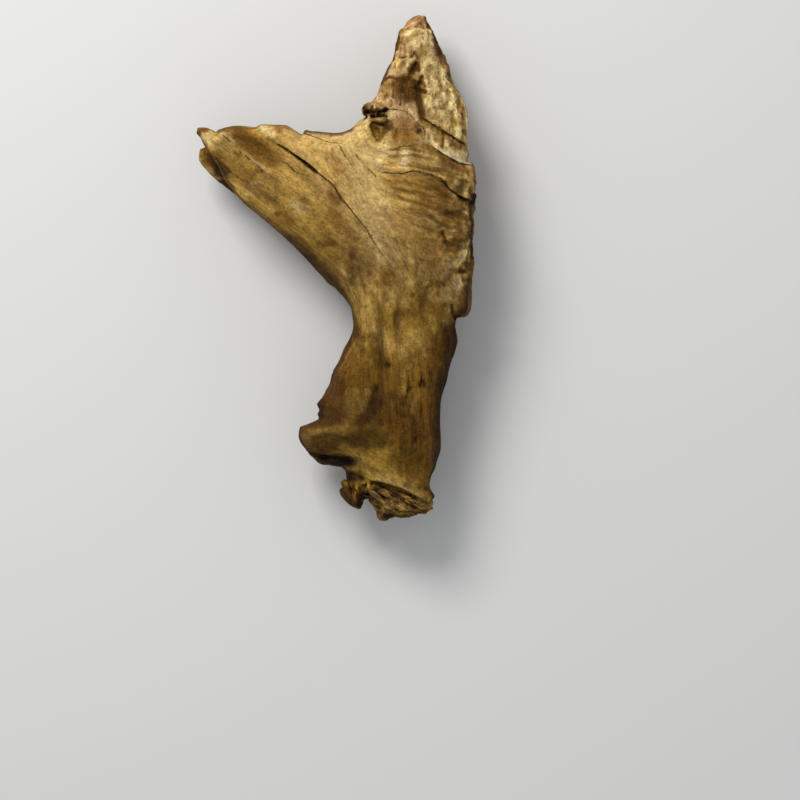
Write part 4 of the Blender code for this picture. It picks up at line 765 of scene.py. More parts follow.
        ("gold", 0.5, 1.2, [(-2.1, -52.2), (4.1, -50.3), (6.0, -49.7)]),
        ("umber", 0.5, 1.0, [(-7.7, -49.7), (-3.3, -48.5)]),
        ("rose", 0.35, 1.4, [(-10.5, -52.2), (-9.2, -53.7)]),
        ("rust", 0.4, 1.6, [(-10.2, -50.3), (-8.9, -55.3)]),
        ("bark", 0.8, 0.5, [(-11.6, -49.4), (-11.8, -52.2), (-10.5, -55.3)]),
        ("bark", 0.6, 1.0, [(-8.9, -57.1), (-5.8, -60.9)]),
        ("umber", 0.6, 1.0, [(-6.4, -55.3), (-4.0, -58.1)]),
        ("ochre", 0.6, 0.7, [(-2.1, -57.8), (0.1, -57.6)]),
        ("gold", 0.5, 1.8, [(2.2, -56.5), (7.2, -58.1)]),
        # Painted shade: black in the cleft under the nose and in the hollow behind it.
        ("pitch", 0.95, 1.6, [(-4.6, -58.7), (-0.9, -59.6), (2.9, -60.2)]),
        ("pitch", 0.95, 1.3, [(2.2, -59.6), (6.6, -60.5)]),
        ("pitch", 0.8, 1.2, [(-4.0, -61.2), (1.6, -61.8)]),
        ("rust", 0.3, 0.5, [(-3.3, -59.9), (-0.2, -59.9)]),
    ],
    # The pitch strokes of the root end are painted shade in its holes, gaps and arch.
    "foot": [
        ("gold", 0.75, 2.8, [(7.8, -60.9), (10.3, -64.0), (15.9, -65.5)]),
        ("gold", 0.85, 2.2, [(10.9, -64.9), (18.4, -66.4), (22.7, -68.3)]),
        ("gold", 0.8, 1.8, [(21.5, -67.7), (25.8, -70.5), (28.9, -72.9)]),
        ("sand", 0.5, 1.3, [(13.4, -65.5), (19.6, -67.4), (25.2, -70.8)]),
        ("sand", 0.6, 0.35, [(2.7, -61.5), (3.5, -61.9)]),
        ("ochre", 0.7, 0.7, [(3.5, -62.4), (6.6, -63.3)]),
        ("pitch", 0.8, 1.1, [(1.6, -62.7), (3.2, -65.2)]),
        ("bark", 0.85, 1.2, [(4.1, -64.0), (7.8, -65.2)]),
        ("pitch", 0.6, 1.0, [(2.9, -64.3), (5.3, -66.1)]),
        ("rust", 0.5, 0.7, [(3.5, -64.6), (6.0, -64.6)]),
        ("hazel", 0.7, 1.6, [(2.9, -68.3), (5.3, -67.7)]),
        ("ochre", 0.6, 0.9, [(6.0, -68.3), (5.3, -72.0)]),
        ("umber", 0.6, 0.9, [(3.8, -69.5), (4.1, -71.7)]),
        ("tan", 0.5, 0.6, [(2.2, -70.5), (3.5, -72.9)]),
        ("bark", 0.8, 0.9, [(1.3, -68.3), (2.9, -71.7), (4.7, -73.6)]),
        ("bark", 0.7, 1.0, [(6.3, -73.9), (7.5, -71.4)]),
        ("pitch", 0.95, 1.5, [(7.8, -73.3), (8.7, -70.8), (10.9, -71.1)]),
        ("pitch", 0.9, 0.9, [(12.3, -68.3), (13.5, -68.9)]),
        ("umber", 0.7, 0.7, [(10.6, -66.7), (12.5, -68.0), (15.9, -68.0)]),
        ("sand", 0.7, 0.6, [(8.4, -67.7), (9.1, -69.8)]),
        ("bark", 0.85, 0.7, [(28.0, -68.3), (29.8, -71.1)]),
        ("pitch", 0.8, 0.7, [(28.9, -70.2), (30.1, -72.0)]),
        ("tan", 0.6, 0.6, [(28.3, -69.5), (29.5, -72.0)]),
        ("bark", 0.8, 0.8, [(12.5, -73.3), (13.1, -75.7)]),
        ("pitch", 0.9, 1.3, [(15.3, -77.0), (17.1, -76.7)]),
        ("bark", 0.8, 0.7, [(18.4, -77.3), (22.1, -77.0), (27.0, -75.4)]),
        ("bark", 0.7, 1.0, [(20.2, -72.0), (22.1, -73.6)]),
        ("bark", 0.6, 0.7, [(17.1, -70.2), (19.0, -71.1)]),
        ("umber", 0.6, 0.7, [(15.3, -72.0), (17.1, -73.9)]),
        ("sand", 0.7, 0.7, [(11.2, -70.8), (14.6, -73.6)]),
        ("sand", 0.7, 0.7, [(13.7, -69.8), (17.1, -72.0)]),
        ("sand", 0.6, 0.7, [(15.9, -74.5), (19.6, -75.7)]),
        ("sand", 0.6, 0.7, [(19.0, -72.9), (21.5, -75.1)]),
        ("sand", 0.6, 0.6, [(23.3, -72.3), (26.4, -74.2)]),
    ],
    # Painted shade: black filling the deep slot on the right.
    "slot": [
        ("pitch", 0.97, 1.0, [(42.6, 22.2), (42.4, 20.1)]),
        ("pitch", 0.97, 1.25, [(42.4, 20.1), (42.2, 16.3), (42.2, 10.1), (42.3, 6.7)]),
        ("pitch", 0.97, 0.8, [(42.3, 6.7), (42.3, 3.0)]),
    ],
    # The bark and umber lines along the rims are painted shade on the steep faces turned from the light.
    "edges": [
        ("bark", 0.9, 0.8, [
            (-32.2, 22.5), (-27.8, 18.2), (-23.2, 14.2), (-18.8, 10.6), (-14.5, 6.9), (-10.5, 3.3),
        ]),
        ("bark", 0.9, 1.8, [
            (-11.1, 3.6), (-6.4, -0.7), (-1.8, -5.4), (1.6, -10.0), (3.8, -14.7), (4.7, -19.3),
        ]),
        ("umber", 0.6, 1.8, [(-5.2, -0.7), (0.4, -7.5), (3.5, -13.1), (5.3, -19.3)]),
        ("bark", 0.7, 0.6, [(4.7, -18.7), (3.8, -24.0), (1.6, -28.3), (-0.9, -33.0), (-2.4, -36.1)]),
        ("rust", 0.2, 2.6, [(2.9, -28.0), (0.1, -33.3), (-1.8, -37.9)]),
        ("bark", 0.8, 0.7, [(-9.4, 42.4), (-6.4, 41.9), (-2.7, 41.4), (1.6, 41.4), (4.7, 42.4)]),
        ("rose", 0.5, 1.0, [(-7.7, 41.1), (-3.3, 40.4), (2.2, 40.5), (6.0, 42.1)]),
        ("bark", 0.8, 0.6, [(13.9, 56.9), (14.9, 59.7), (17.6, 65.3), (19.0, 71.8)]),
        ("umber", 0.7, 0.6, [(19.0, 72.4), (21.5, 76.2), (23.6, 77.7)]),
        ("bark", 0.8, 0.6, [(27.3, 77.4), (29.8, 72.8), (31.4, 69.0)]),
        ("umber", 0.7, 0.6, [(35.2, 60.0), (35.4, 56.3), (37.3, 52.6), (39.1, 48.9)]),
        ("bark", 0.8, 0.9, [
            (37.0, -16.2), (36.5, -19.3), (36.6, -23.3), (35.4, -26.8), (34.2, -31.7), (32.6, -37.3),
        ]),
        ("bark", 0.8, 0.8, [(32.3, -37.9), (32.0, -47.2), (32.3, -55.0), (30.8, -60.2), (29.2, -66.7)]),
        ("bark", 0.8, 0.6, [
            (-11.7, -49.7), (-11.8, -52.8), (-10.2, -56.2), (-6.8, -59.9), (-5.2, -61.5),
        ]),
        ("bark", 0.7, 0.6, [(-11.4, -49.1), (-7.1, -47.5), (-4.9, -46.0)]),
        ("bark", 0.8, 0.7, [(-5.7, -41.6), (-5.2, -43.5), (-5.7, -45.4)]),
        ("bark", 0.7, 1.0, [(43.0, 19.1), (43.3, 14.8), (43.0, 8.6), (42.5, 3.6)]),
        ("umber", 0.8, 0.6, [(41.8, 1.8), (41.4, -3.8), (41.1, -10.0)]),
    ],
}


def curve_through(points, step=1.2):
    """A closed Catmull-Rom curve through the outline, straight into and out of each torn corner."""
    places = np.array([point[:2] for point in points], float)
    torn = [len(point) > 2 for point in points]
    count = len(places)
    curve = []
    for i in range(count):
        here, after = places[i], places[(i + 1) % count]
        before = here if torn[i] else places[i - 1]
        beyond = after if torn[(i + 1) % count] else places[(i + 2) % count]
        pieces = max(1, int(np.hypot(*(after - here)) / step))
        for t in np.arange(pieces) / pieces:
            curve.append(
                0.5 * (2 * here + (after - before) * t + (2 * before - 5 * here + 4 * after - beyond) * t**2
                       + (3 * here - before - 3 * after + beyond) * t**3)
            )
    return np.array(curve)


def near_line(x, y, line):
    """Distance to a polyline, how far along it the nearest spot is, and which side of it (left is +1)."""
    shape = np.broadcast(x, y).shape
    gap = np.full(shape, 1e9)
    along = np.zeros(shape)
    side = np.zeros(shape)
    for i, (start, end) in enumerate(zip(line, line[1:])):
        dx, dy = end[0] - start[0], end[1] - start[1]
        t = np.clip(((x - start[0]) * dx + (y - start[1]) * dy) / max(dx * dx + dy * dy, 1e-9), 0, 1)
        here = np.hypot(x - start[0] - t * dx, y - start[1] - t * dy)
        nearer = here < gap
        gap = np.where(nearer, here, gap)
        along = np.where(nearer, i + t, along)
        side = np.where(nearer, np.sign(dx * (y - start[1]) - dy * (x - start[0])), side)
    return gap, along, side


def near_tube(x, y, z, line, radii):
    """Signed distance to a tube along a 3-D polyline whose radius changes from point to point."""
    gap = None
    for start, end, first, last in zip(line, line[1:], radii, radii[1:]):
        way = np.subtract(end, start)
        t = ((x - start[0]) * way[0] + (y - start[1]) * way[1] + (z - start[2]) * way[2]) / (way @ way)
        t = np.clip(t, 0, 1)
        off = np.sqrt((x - start[0] - t * way[0]) ** 2 + (y - start[1] - t * way[1]) ** 2
                      + (z - start[2] - t * way[2]) ** 2)
        here = off - (first + (last - first) * t)
        gap = here if gap is None else np.minimum(gap, here)
    return gap


def nearest_crack(x, y, cracks):
    """Distance to the nearest crack, with its half-width and its depth there."""
    best = None
    for line in cracks.values():
        gap, along, _ = near_line(x, y, line)
        width = np.interp(along, range(len(line)), [point[2] for point in line])
        deep = np.interp(along, range(len(line)), [point[3] for point in line])
        if best is None:
            best = [gap, width, deep]
        else:
            nearer = gap - width < best[0] - best[1]
            best = [np.where(nearer, new, old) for new, old in zip((gap, width, deep), best)]
    return best


def smooth_max(a, b, blend):
    h = np.clip(0.5 + 0.5 * (a - b) / blend, 0, 1)
    return b + (a - b) * h + blend * h * (1 - h)


def smooth_min(a, b, blend):
    return -smooth_max(-a, -b, blend)


def fade(value, low, high):
    """0 below low, 1 above high, and smooth between them."""
    t = np.clip((value - low) / (high - low), 0, 1)
    return t * t * (3 - 2 * t)


def bump(x, y, spot):
    """A soft oval swelling: x, y, reach along, reach across, angle and height."""
    cx, cy, along, across, angle, height = spot
    turn = np.radians(angle)
    u = (x - cx) * np.cos(turn) + (y - cy) * np.sin(turn)
    v = (y - cy) * np.cos(turn) - (x - cx) * np.sin(turn)
    return height * np.exp(-((u / along) ** 2) - (v / across) ** 2)


class Noise:
    """Smooth repeatable noise between about -1 and 1 on a lattice of fixed values."""

    def __init__(self, seed, size=48):
        self.values = np.random.default_rng(seed).uniform(-1, 1, (size, size, size))
        self.size = size

    def at(self, x, y, z):
        lows, parts = [], []
        for c in np.broadcast_arrays(x, y, z):
            low = np.floor(c)
            t = c - low
            lows.append(low.astype(int) % self.size)
            parts.append(t * t * (3 - 2 * t))
        total = 0
        for corner in range(8):
            index, weight = [], 1
            for axis in range(3):
                up = corner >> axis & 1
                index.append((lows[axis] + up) % self.size)
                weight = weight * (parts[axis] if up else 1 - parts[axis])
            total = total + weight * self.values[tuple(index)]
        return total


def sliding_mean(values, reach, axis):
    """Each value replaced by the mean of those within reach of it along one axis."""
    padding = [(0, 0), (0, 0)]
    padding[axis] = (reach + 1, reach)
    sums = np.cumsum(np.pad(values, padding, mode="edge"), axis=axis)
    count = values.shape[axis]
    high = np.take(sums, np.arange(count) + 2 * reach + 1, axis=axis)
    low = np.take(sums, np.arange(count), axis=axis)
    return (high - low) / (2 * reach + 1)


def depth_inside(x, y, curve):
    """How far inside a closed curve each place lies, negative outside it."""
    closed = np.vstack([curve, curve[:1]])
    gap, _, _ = near_line(x, y, closed)
    inside = np.zeros(gap.shape, bool)
    for (ax, ay), (bx, by) in zip(closed, closed[1:]):
        if ay != by:
            crosses = (ay > y) != (by > y)
            inside ^= crosses & (x < ax + (y - ay) * (bx - ax) / (by - ay))
    return np.where(inside, gap, -gap)


def heights(x, y):
    """Front, back, reach of the rounded edge and widest level at each (x, y), from the stations round it."""
    total = 0
    sums = [0, 0, 0, 0]
    for sx, sy, *values in STATIONS:
        weight = np.exp(-((x - sx) ** 2 + (y - sy) ** 2) / STATION_REACH**2) + 1e-9
        total = total + weight
        sums = [s + weight * value for s, value in zip(sums, values)]
    return [s / total for s in sums]


def step_height(x, y, line, reach):
    """The rise of a layer on the left of its edge, fading out behind it."""
    gap, along, side = near_line(x, y, line)
    signed = gap * side
    rise = np.interp(along, range(len(line)), [point[2] for point in line])
    return rise * np.clip(signed / 0.4 + 0.5, 0, 1) * np.clip(1 - signed / reach, 0, 1)


def add_front_forms(x, y, front):
    """The front surface with its layers, hollows and swellings."""
    for line, reach in STEPS.values():
        front = front + step_height(x, y, line, reach)
    for spot in RELIEF:
        front = front + bump(x, y, spot)
    return front


def add_back_forms(x, y, back):
    """The back surface with its channels and its three low places."""
    for line in BACK_CHANNELS:
        gap, along, _ = near_line(x, y, line)
        width = np.interp(along, range(len(line)), [point[2] for point in line])
        depth = np.interp(along, range(len(line)), [point[3] for point in line])
        back = back + depth * np.exp(-((gap / width) ** 2))
    for cx, cy, drop in RESTS:
        back = back - drop * np.exp(-(((x - cx) ** 2 + (y - cy) ** 2) / REST_RADIUS**2))
    return back


def limb_shares(x, y):
    """How much of each place belongs to each limb's grain."""
    weights = []
    for line, reach, _, _ in LIMBS.values():
        gap, _, _ = near_line(x, y, line)
        weights.append(np.exp(-((gap / reach) ** 2)) + 1e-6)
    total = sum(weights)
    return [weight / total for weight in weights]


class Plan:
    """All that depends on the place in plan alone, worked out once on a fine flat grid."""

    def __init__(self, step=0.25, margin=4.0):
        curve = curve_through(OUTLINE)
        self.low = curve.min(axis=0) - margin
        self.step = step
        self.shape = np.ceil((curve.max(axis=0) + margin - self.low) / step).astype(int) + 1
        x = self.low[0] + step * np.arange(self.shape[0])[:, None]
        y = self.low[1] + step * np.arange(self.shape[1])[None, :]
        depth = depth_inside(x, y, curve)
        smooth_depth = depth
        for _ in range(2):
            for axis in (0, 1):
                smooth_depth = sliding_mean(smooth_depth, int(BACK_SMOOTHING / step), axis)
        plain_front, plain_back, rim, widest = heights(x, y)
        fray_gap, _, _ = near_line(x, y, FRAY_LINE)
        maps = [
            depth, smooth_depth, plain_front, plain_back, rim, widest,
            add_front_forms(x, y, plain_front), add_back_forms(x, y, plain_back),
            *nearest_crack(x, y, OPEN_CRACKS), np.exp(-((fray_gap / FRAY_REACH) ** 4)), *limb_shares(x, y),
        ]
        self.maps = np.stack(maps, axis=-1)
        self.stubs, self.holes = [], []

    def at(self, x, y):
        """The values of all the maps at each place."""
        u = np.clip((x - self.low[0]) / self.step, 0, self.shape[0] - 1.001)
        v = np.clip((y - self.low[1]) / self.step, 0, self.shape[1] - 1.001)
        i, j = u.astype(int), v.astype(int)
        s, t = (u - i)[:, None], (v - j)[:, None]
        low = self.maps[i, j] * (1 - s) + self.maps[i + 1, j] * s
        high = self.maps[i, j + 1] * (1 - s) + self.maps[i + 1, j + 1] * s
        return (low * (1 - t) + high * t).T

    def grain_at(self, x, y):
        """How frayed each place is, and its share of each limb."""
        maps = self.at(x, y)
        return maps[-len(LIMBS) - 1], maps[-len(LIMBS):]


def along_grain(x, y, z, weights, angles, pattern):
    """A pattern of (along, across, z) laid along each direction of grain, weighted from place to place."""
    total = np.zeros(len(x))
    for weight, angle in zip(weights, angles):
        own = weight > 0.005
        turn = np.radians(angle)
        along = x[own] * np.cos(turn) + y[own] * np.sin(turn)
        across = y[own] * np.cos(turn) - x[own] * np.sin(turn)
        total[own] += weight[own] * pattern(along, across, z[own])
    return total


def grain_relief(x, y, z, shares, noise):
    """Ridges and furrows along the grain of each limb."""
    def pattern(along, across, z):
        coarse = noise.at(along / 17 + 3, across / 2.9, z / 3.6)
        fine = noise.at(along / 8, across / 1.3 + 9, z / 1.7)
        return 0.7 * coarse + 0.3 * fine
    weights = [GRAIN_STRENGTH * depth * share for share, (_, _, _, depth) in zip(shares, LIMBS.values())]
    return along_grain(x, y, z, weights, [angle for _, _, angle, _ in LIMBS.values()], pattern)


def fray(x, y, z, share, noise):
    """Ragged gaps between the fibres at the root end."""
    turn = np.radians(FRAY_ANGLE)
    along = x * np.cos(turn) + y * np.sin(turn)
    across = y * np.cos(turn) - x * np.sin(turn)
    gaps = noise.at(along / 7, across / 1.7 + 4, z / 1.9)
    return FRAY_DEPTH * share * np.clip(gaps + 0.1, 0, None)


def add_small_parts(plan, noise):
    """Sets the knot's stubs and holes and the root's fibres on the wood as it is without them."""
    levels = np.arange(40.0, 0.0, -0.2)

    def placed(parts):
        raised = []
        for line, radii in parts:
            spots = []
            for x, y, over in line:
                column = np.column_stack([np.full(len(levels), x), np.full(len(levels), y), levels])
                top = levels[np.argmax(wood(column, plan, noise) < 0)]
                spots.append((x, y, top + over))
            raised.append((spots, radii))
        return raised
    plan.stubs, plan.holes = placed(KNOT_STUBS + ROOT_FIBRES), placed(KNOT_HOLES)


def with_small_parts(body, x, y, z, plan):
    """The wood with its small parts joined on and their holes cut."""
    for parts, join in ((plan.stubs, smooth_min), (plan.holes, smooth_max)):
        for line, radii in parts:
            low = np.min(line, axis=0) - PART_MARGIN
            high = np.max(line, axis=0) + PART_MARGIN
            near = (x > low[0]) & (x < high[0]) & (y > low[1]) & (y < high[1])
            tube = near_tube(x[near], y[near], z[near], line, radii)
            body[near] = join(body[near], tube if join is smooth_min else -tube, PART_BLEND)
    return body


def rounded(reach_in, reach_up, depth, below):
    """Below zero inside an edge that is rounded over reach_in sideways and reach_up in height."""
    u = np.clip(1 - depth / reach_in, 0, None)
    v = np.clip(1 - below / reach_up, 0, None)
    size = (u**ROUND_POWER + v**ROUND_POWER) ** (1 / ROUND_POWER) - 1
    # Deep inside, the plain distance keeps the value falling
    return np.where(size > -0.999, size * np.minimum(reach_in, reach_up), -np.minimum(depth, below))


def wood(points, plan, noise):
    """Negative inside the wood and positive outside it, near enough a distance in millimetres."""
    x, y, z = points.T
    (depth, smooth_depth, plain_front, plain_back, rim, widest, front, back,
     gap, width, deep, frayed, *shares) = plan.at(x, y)
    smooth_depth = np.minimum(depth, smooth_depth - 0.3)
    thick = np.clip(plain_front - plain_back, 3, None)
    level = plain_back + widest * thick
    behind = np.clip((level - z) / thick * 4 - 0.2, 0, 1)
    depth = depth + (smooth_depth - depth) * behind
    carve = CARVE_DEPTH * (0.5 + 0.5 * noise.at(x / 11, y / 11, z / 8 + 5))
    depth = depth - carve * np.clip(np.abs(z - level) / thick * 3 - 0.4, 0, 1)
    body = np.maximum(
        rounded(rim, (1 - widest) * thick, depth, front - z),
        rounded(1.5 * rim, widest * thick, depth, z - back),
    )
    body = body + grain_relief(x, y, z, shares, noise)
    body = body + fray(x, y, z, frayed, noise)
    slot = (np.sqrt((gap / width) ** 2 + ((z - front + 0.3) / deep) ** 2) - 1) * width
    body = np.maximum(body, -slot)
    for line, radii in [
        (ARM_HOLLOW, ARM_HOLLOW_RADIUS), (SIDE_SLOT, SIDE_SLOT_RADIUS), (CLEFT, CLEFT_RADIUS),
        (UNDER_NOSE, UNDER_NOSE_RADIUS), (ARCH, ARCH_RADIUS), (UNDER_FOOT, UNDER_FOOT_RADIUS),
    ]:
        body = smooth_max(body, -near_tube(x, y, z, line, radii), HOLLOW_BLEND)
    for start, end, radius in FIBRE_GAPS:
        body = smooth_max(body, -near_tube(x, y, z, [start, end], [radius, radius * 0.6]), GAP_BLEND)
    for start, end, radius in FIBRES:
        body = smooth_min(body, near_tube(x, y, z, [start, end], [radius, radius * 0.5]), FIBRE_BLEND)
    body = with_small_parts(body, x, y, z, plan)
    return np.maximum(body, -z)


def wood_field(plan, noise):
    """The wood's values on an even grid, exact only near its surface, and the grid's low corner."""
    step = 3 * CELL
    lines = [np.arange(low / MM - 2 * step, high / MM + 2 * step, step) for low, high in zip(*cad_box)]
    x, y, z = np.meshgrid(*lines, indexing="ij")
    coarse = wood(np.stack([x.ravel(), y.ravel(), z.ravel()], axis=1), plan, noise).reshape(x.shape)
    near = np.abs(coarse) < COARSE_BAND
    for axis in range(3):
        change = np.diff(coarse < 0, axis=axis)
        first, last = [slice(None)] * 3, [slice(None)] * 3
        first[axis], last[axis] = slice(None, -1), slice(1, None)
        near[tuple(first)] |= change
        near[tuple(last)] |= change
    for axis in range(3):
        spread = near.copy()
        first, last = [slice(None)] * 3, [slice(None)] * 3
        first[axis], last[axis] = slice(None, -1), slice(1, None)
        spread[tuple(first)] |= near[tuple(last)]
        spread[tuple(last)] |= near[tuple(first)]
        near = spread
    field = coarse.repeat(3, axis=0).repeat(3, axis=1).repeat(3, axis=2)
    corner = np.array([line[0] for line in lines]) - CELL
    spots = np.argwhere(near)
    for offset in np.ndindex(3, 3, 3):
        fine = spots * 3 + offset
        field[tuple(fine.T)] = wood(corner + CELL * fine, plan, noise)
    return field, corner


def surface_of(field, low, cell):
    """Points and four-sided faces of the surface where a 3-D array changes sign, one point to a cell."""
    inside = field < 0
    cells = tuple(n - 1 for n in field.shape)
    corners = [(i, j, k) for i in (0, 1) for j in (0, 1) for k in (0, 1)]

    def corner(array, at):
        return array[tuple(slice(a, a + n) for a, n in zip(at, cells))]

    filled = sum(corner(inside, at).astype(np.int8) for at in corners)
    mixed = (filled > 0) & (filled < 8)
    number = np.full(cells, -1)
    number[mixed] = np.arange(mixed.sum())
    base = np.argwhere(mixed)
    total = np.zeros((len(base), 3))
    hits = np.zeros(len(base))
    for at in corners:
        for axis in range(3):
            if at[axis]:
                continue
            other = tuple(1 if a == axis else b for a, b in enumerate(at))
            first = corner(field, at)[mixed]
            last = corner(field, other)[mixed]
            cut = (first < 0) != (last < 0)
            t = first[cut] / (first[cut] - last[cut])
            spot = np.tile(np.array(at, float), (cut.sum(), 1))
            spot[:, axis] += t
            total[cut] += spot
            hits[cut] += 1
    points = low + cell * (base + total / hits[:, None])
    faces = []
    for axis in range(3):
        u, v = [a for a in range(3) if a != axis]
        ends = [slice(None)] * 3
        starts = [slice(None)] * 3
        ends[axis] = slice(1, None)
        starts[axis] = slice(None, -1)
        for other in (u, v):
            ends[other] = starts[other] = slice(1, -1)
        first, last = inside[tuple(starts)], inside[tuple(ends)]
        for here, turned in ((first & ~last, axis == 1), (last & ~first, axis != 1)):
            at = np.argwhere(here)
            at[:, u] += 1
            at[:, v] += 1
            ring = []
            for du, dv in ((-1, -1), (0, -1), (0, 0), (-1, 0)):
                spot = at.copy()
                spot[:, u] += du
                spot[:, v] += dv
                ring.append(number[tuple(spot.T)])
            ring = np.array(ring).T
            faces.append(ring[:, ::-1] if turned else ring)
    return points, np.vstack(faces)


def largest_part(points, faces):
    """Keeps the connected part with the most points, and drops crumbs."""
    label = np.arange(len(points))
    while True:
        lowest = label.copy()
        np.minimum.at(lowest, faces.ravel(), np.repeat(label[faces].min(axis=1), 4))
        lowest = lowest[lowest]
        if (lowest == label).all():
            break
        label = lowest
    keep = label == np.bincount(label).argmax()
    number = np.cumsum(keep) - 1
    return points[keep], number[faces[keep[faces[:, 0]]]]


def mesh_arrays(mesh):
    """A mesh's points in millimetres and its point normals."""
    points = np.empty(len(mesh.vertices) * 3)
    mesh.vertices.foreach_get("co", points)
    normals = np.empty(len(mesh.vertices) * 3)
    mesh.vertex_normals.foreach_get("vector", normals)
    return points.reshape(-1, 3) / MM, normals.reshape(-1, 3)


def set_points(mesh, points):
    mesh.vertices.foreach_set("co", (points * MM).ravel())
    mesh.update()


def finished(obj):
    """The object's mesh with its modifiers applied, and the modifiers removed."""
    mesh = bpy.data.meshes.new_from_object(obj.evaluated_get(bpy.context.evaluated_depsgraph_get()))
    obj.modifiers.clear()
    obj.data = mesh
    return mesh


def settle(mesh, plan, noise):
    """Moves each point along its normal onto the true surface."""
    points, normals = mesh_arrays(mesh)
    here = wood(points, plan, noise)
    ahead = wood(points + PROBE * normals, plan, noise)
    slope = np.clip((ahead - here) / PROBE, 0.3, 3)
    points -= normals * np.clip(here / slope, -SETTLE_LIMIT, SETTLE_LIMIT)[:, None]
    points[:, 2] = np.clip(points[:, 2], 0, None)
    set_points(mesh, points)


def refine(mesh, wanted):
    """Divides the edges of every face whose points are all wanted, once."""
    bm = bmesh.new()
    bm.from_mesh(mesh)
    bm.verts.ensure_lookup_table()
    edges = set()
    for face in bm.faces:
        if all(wanted[vert.index] for vert in face.verts):
            edges.update(face.edges)
    bmesh.ops.subdivide_edges(bm, edges=list(edges), cuts=1, use_grid_fill=True)
    bm.to_mesh(mesh)
    bm.free()


def thin_back(obj, triangles):
    """Leaves fewer faces on the back and the sides that face down, and keeps the front as it is."""
    _, normals = mesh_arrays(obj.data)
    group = obj.vertex_groups.new(name="back")
    for level in np.linspace(0.2, 1, 5):
        chosen = np.flatnonzero(fade(normals[:, 2], 0.15, -0.15) >= level - 1e-6)
        group.add(chosen.tolist(), float(level), "REPLACE")
    fewer = obj.modifiers.new("fewer", "DECIMATE")
    now = sum(len(face.vertices) - 2 for face in obj.data.polygons)
    fewer.ratio = min(1.0, triangles / now)
    fewer.vertex_group = "back"
    fewer.vertex_group_factor = 10
    finished(obj)
    obj.vertex_groups.clear()


GRAIN_ANGLES = [angle for _, _, angle in GRAIN.values()]


def nudged(x, y, noise, size, reach):
    """The places moved about a little by soft noise, so that nothing laid there has a ruled edge."""
    return x + size * noise.at(x / reach, y / reach, 2.5), y + size * noise.at(x / reach + 9, y / reach, 7.5)


def fine_crack(x, y, noise):
    """Distance to the nearest fine crack, its half-width and its depth, all a little uneven."""
    gap, width, deep = nearest_crack(*nudged(x, y, noise, 0.14, 1.6), FINE_CRACKS)
    uneven = 1 + 0.35 * noise.at(x / 1.9, y / 1.9, 4.5)
    return gap, CRACK_WIDTH * width * uneven, deep * uneven


def fine_relief(x, y, z, shares, grain, frayed, noise):
    """The height of the finest forms: pits on the blade, ripples on the right side, ridges along the limbs,
    loose fibres at the root end and a crumbly surface everywhere."""
    blade, _, curl, trunk, _ = shares
    wide_pits = fade(noise.at(x / 1.9 + 2, y / 2.2, z / 2), 0.08, 0.38)
    small_pits = fade(noise.at(x / 1.1, y / 1.4 + 4, z / 1.2), 0.1, 0.4)
    bare = blade * (0.25 + 0.75 * fade(near_line(x, y, PITTED_LINE)[0], 11, 7))
    height = PIT_DEPTH * bare * (0.3 - 0.7 * wide_pits - 0.45 * small_pits)
    turn = np.radians(RIPPLE_ANGLE)
    bend = 0.9 * noise.at(x / 6, y / 6, z / 6)
    along = x * np.cos(turn) + y * np.sin(turn)
    across = y * np.cos(turn) - x * np.sin(turn) + bend
    ripples = noise.at(along / 3.4, across / 0.8, z / 2.5)
    height += RIPPLE_HEIGHT * (curl + 0.25 * blade) * ripples

    def ridges(along, across, z):
        broad = noise.at(along / 12, across / 1.1, z / 1.4)
        narrow = noise.at(along / 6 + 5, across / 0.6, z / 0.8)
        return 0.6 * broad + 0.4 * narrow
    height += RIDGE_HEIGHT * (0.35 + 0.4 * trunk) * along_grain(x, y, z, grain, GRAIN_ANGLES, ridges)
    turn = np.radians(FRAY_ANGLE)
    along = x * np.cos(turn) + y * np.sin(turn)
    across = y * np.cos(turn) - x * np.sin(turn)
    height += FIBRE_HEIGHT * frayed * noise.at(along / 6, across / 0.65, z / 0.8)
    wide_lumps = fade(noise.at(x / 1.6, y / 2.0 + 3, z / 2), -0.2, 0.3)
    small_lumps = fade(noise.at(x + 6, y / 1.2, z), -0.1, 0.3)
    height += LUMP_HEIGHT * curl * fade(x, *LUMPS_ACROSS) * (wide_lumps + 0.6 * small_lumps - 0.8)
    return height + CRUMB_HEIGHT * noise.at(x / 0.55, y / 0.55, z / 0.55)


def add_detail(mesh, plan, noise):
    """Adds the finest forms along the normals, then presses the fine cracks into the front."""
    points, normals = mesh_arrays(mesh)
    x, y, z = points.T
    frayed, shares = plan.grain_at(x, y)
    grain = grain_shares(x, y)
    held = fade(z, 0.2, 1.6)
    points += normals * (held * fine_relief(x, y, z, shares, grain, frayed, noise))[:, None]
    gap, width, deep = fine_crack(x, y, noise)
    front = fade(normals[:, 2], 0.1, 0.45) * fade(z, 8, 12)
    groove = deep * np.clip(1 - (gap / width) ** 2, 0, 1)
    lip = 0.1 * np.exp(-(((gap - 2.2 * width) / width) ** 2))
    points[:, 2] += front * (lip - groove)
    points[:, 2] = np.clip(points[:, 2], 0, None)
    set_points(mesh, points)


def near_front_crack(mesh, noise, band):
    """Which points lie within a band beside a fine crack of the front."""
    points, normals = mesh_arrays(mesh)
    gap, width, _ = fine_crack(points[:, 0], points[:, 1], noise)
    from_knot = np.hypot(points[:, 0] - KNOT_CENTRE[0], points[:, 1] - KNOT_CENTRE[1])
    in_knot = from_knot < KNOT_REACH * band / CRACK_BANDS[0]
    return ((np.abs(gap - width) < band) | in_knot) & (normals[:, 2] > 0.1)


def tone(name):
    return np.array(PALETTE[name]) / 255


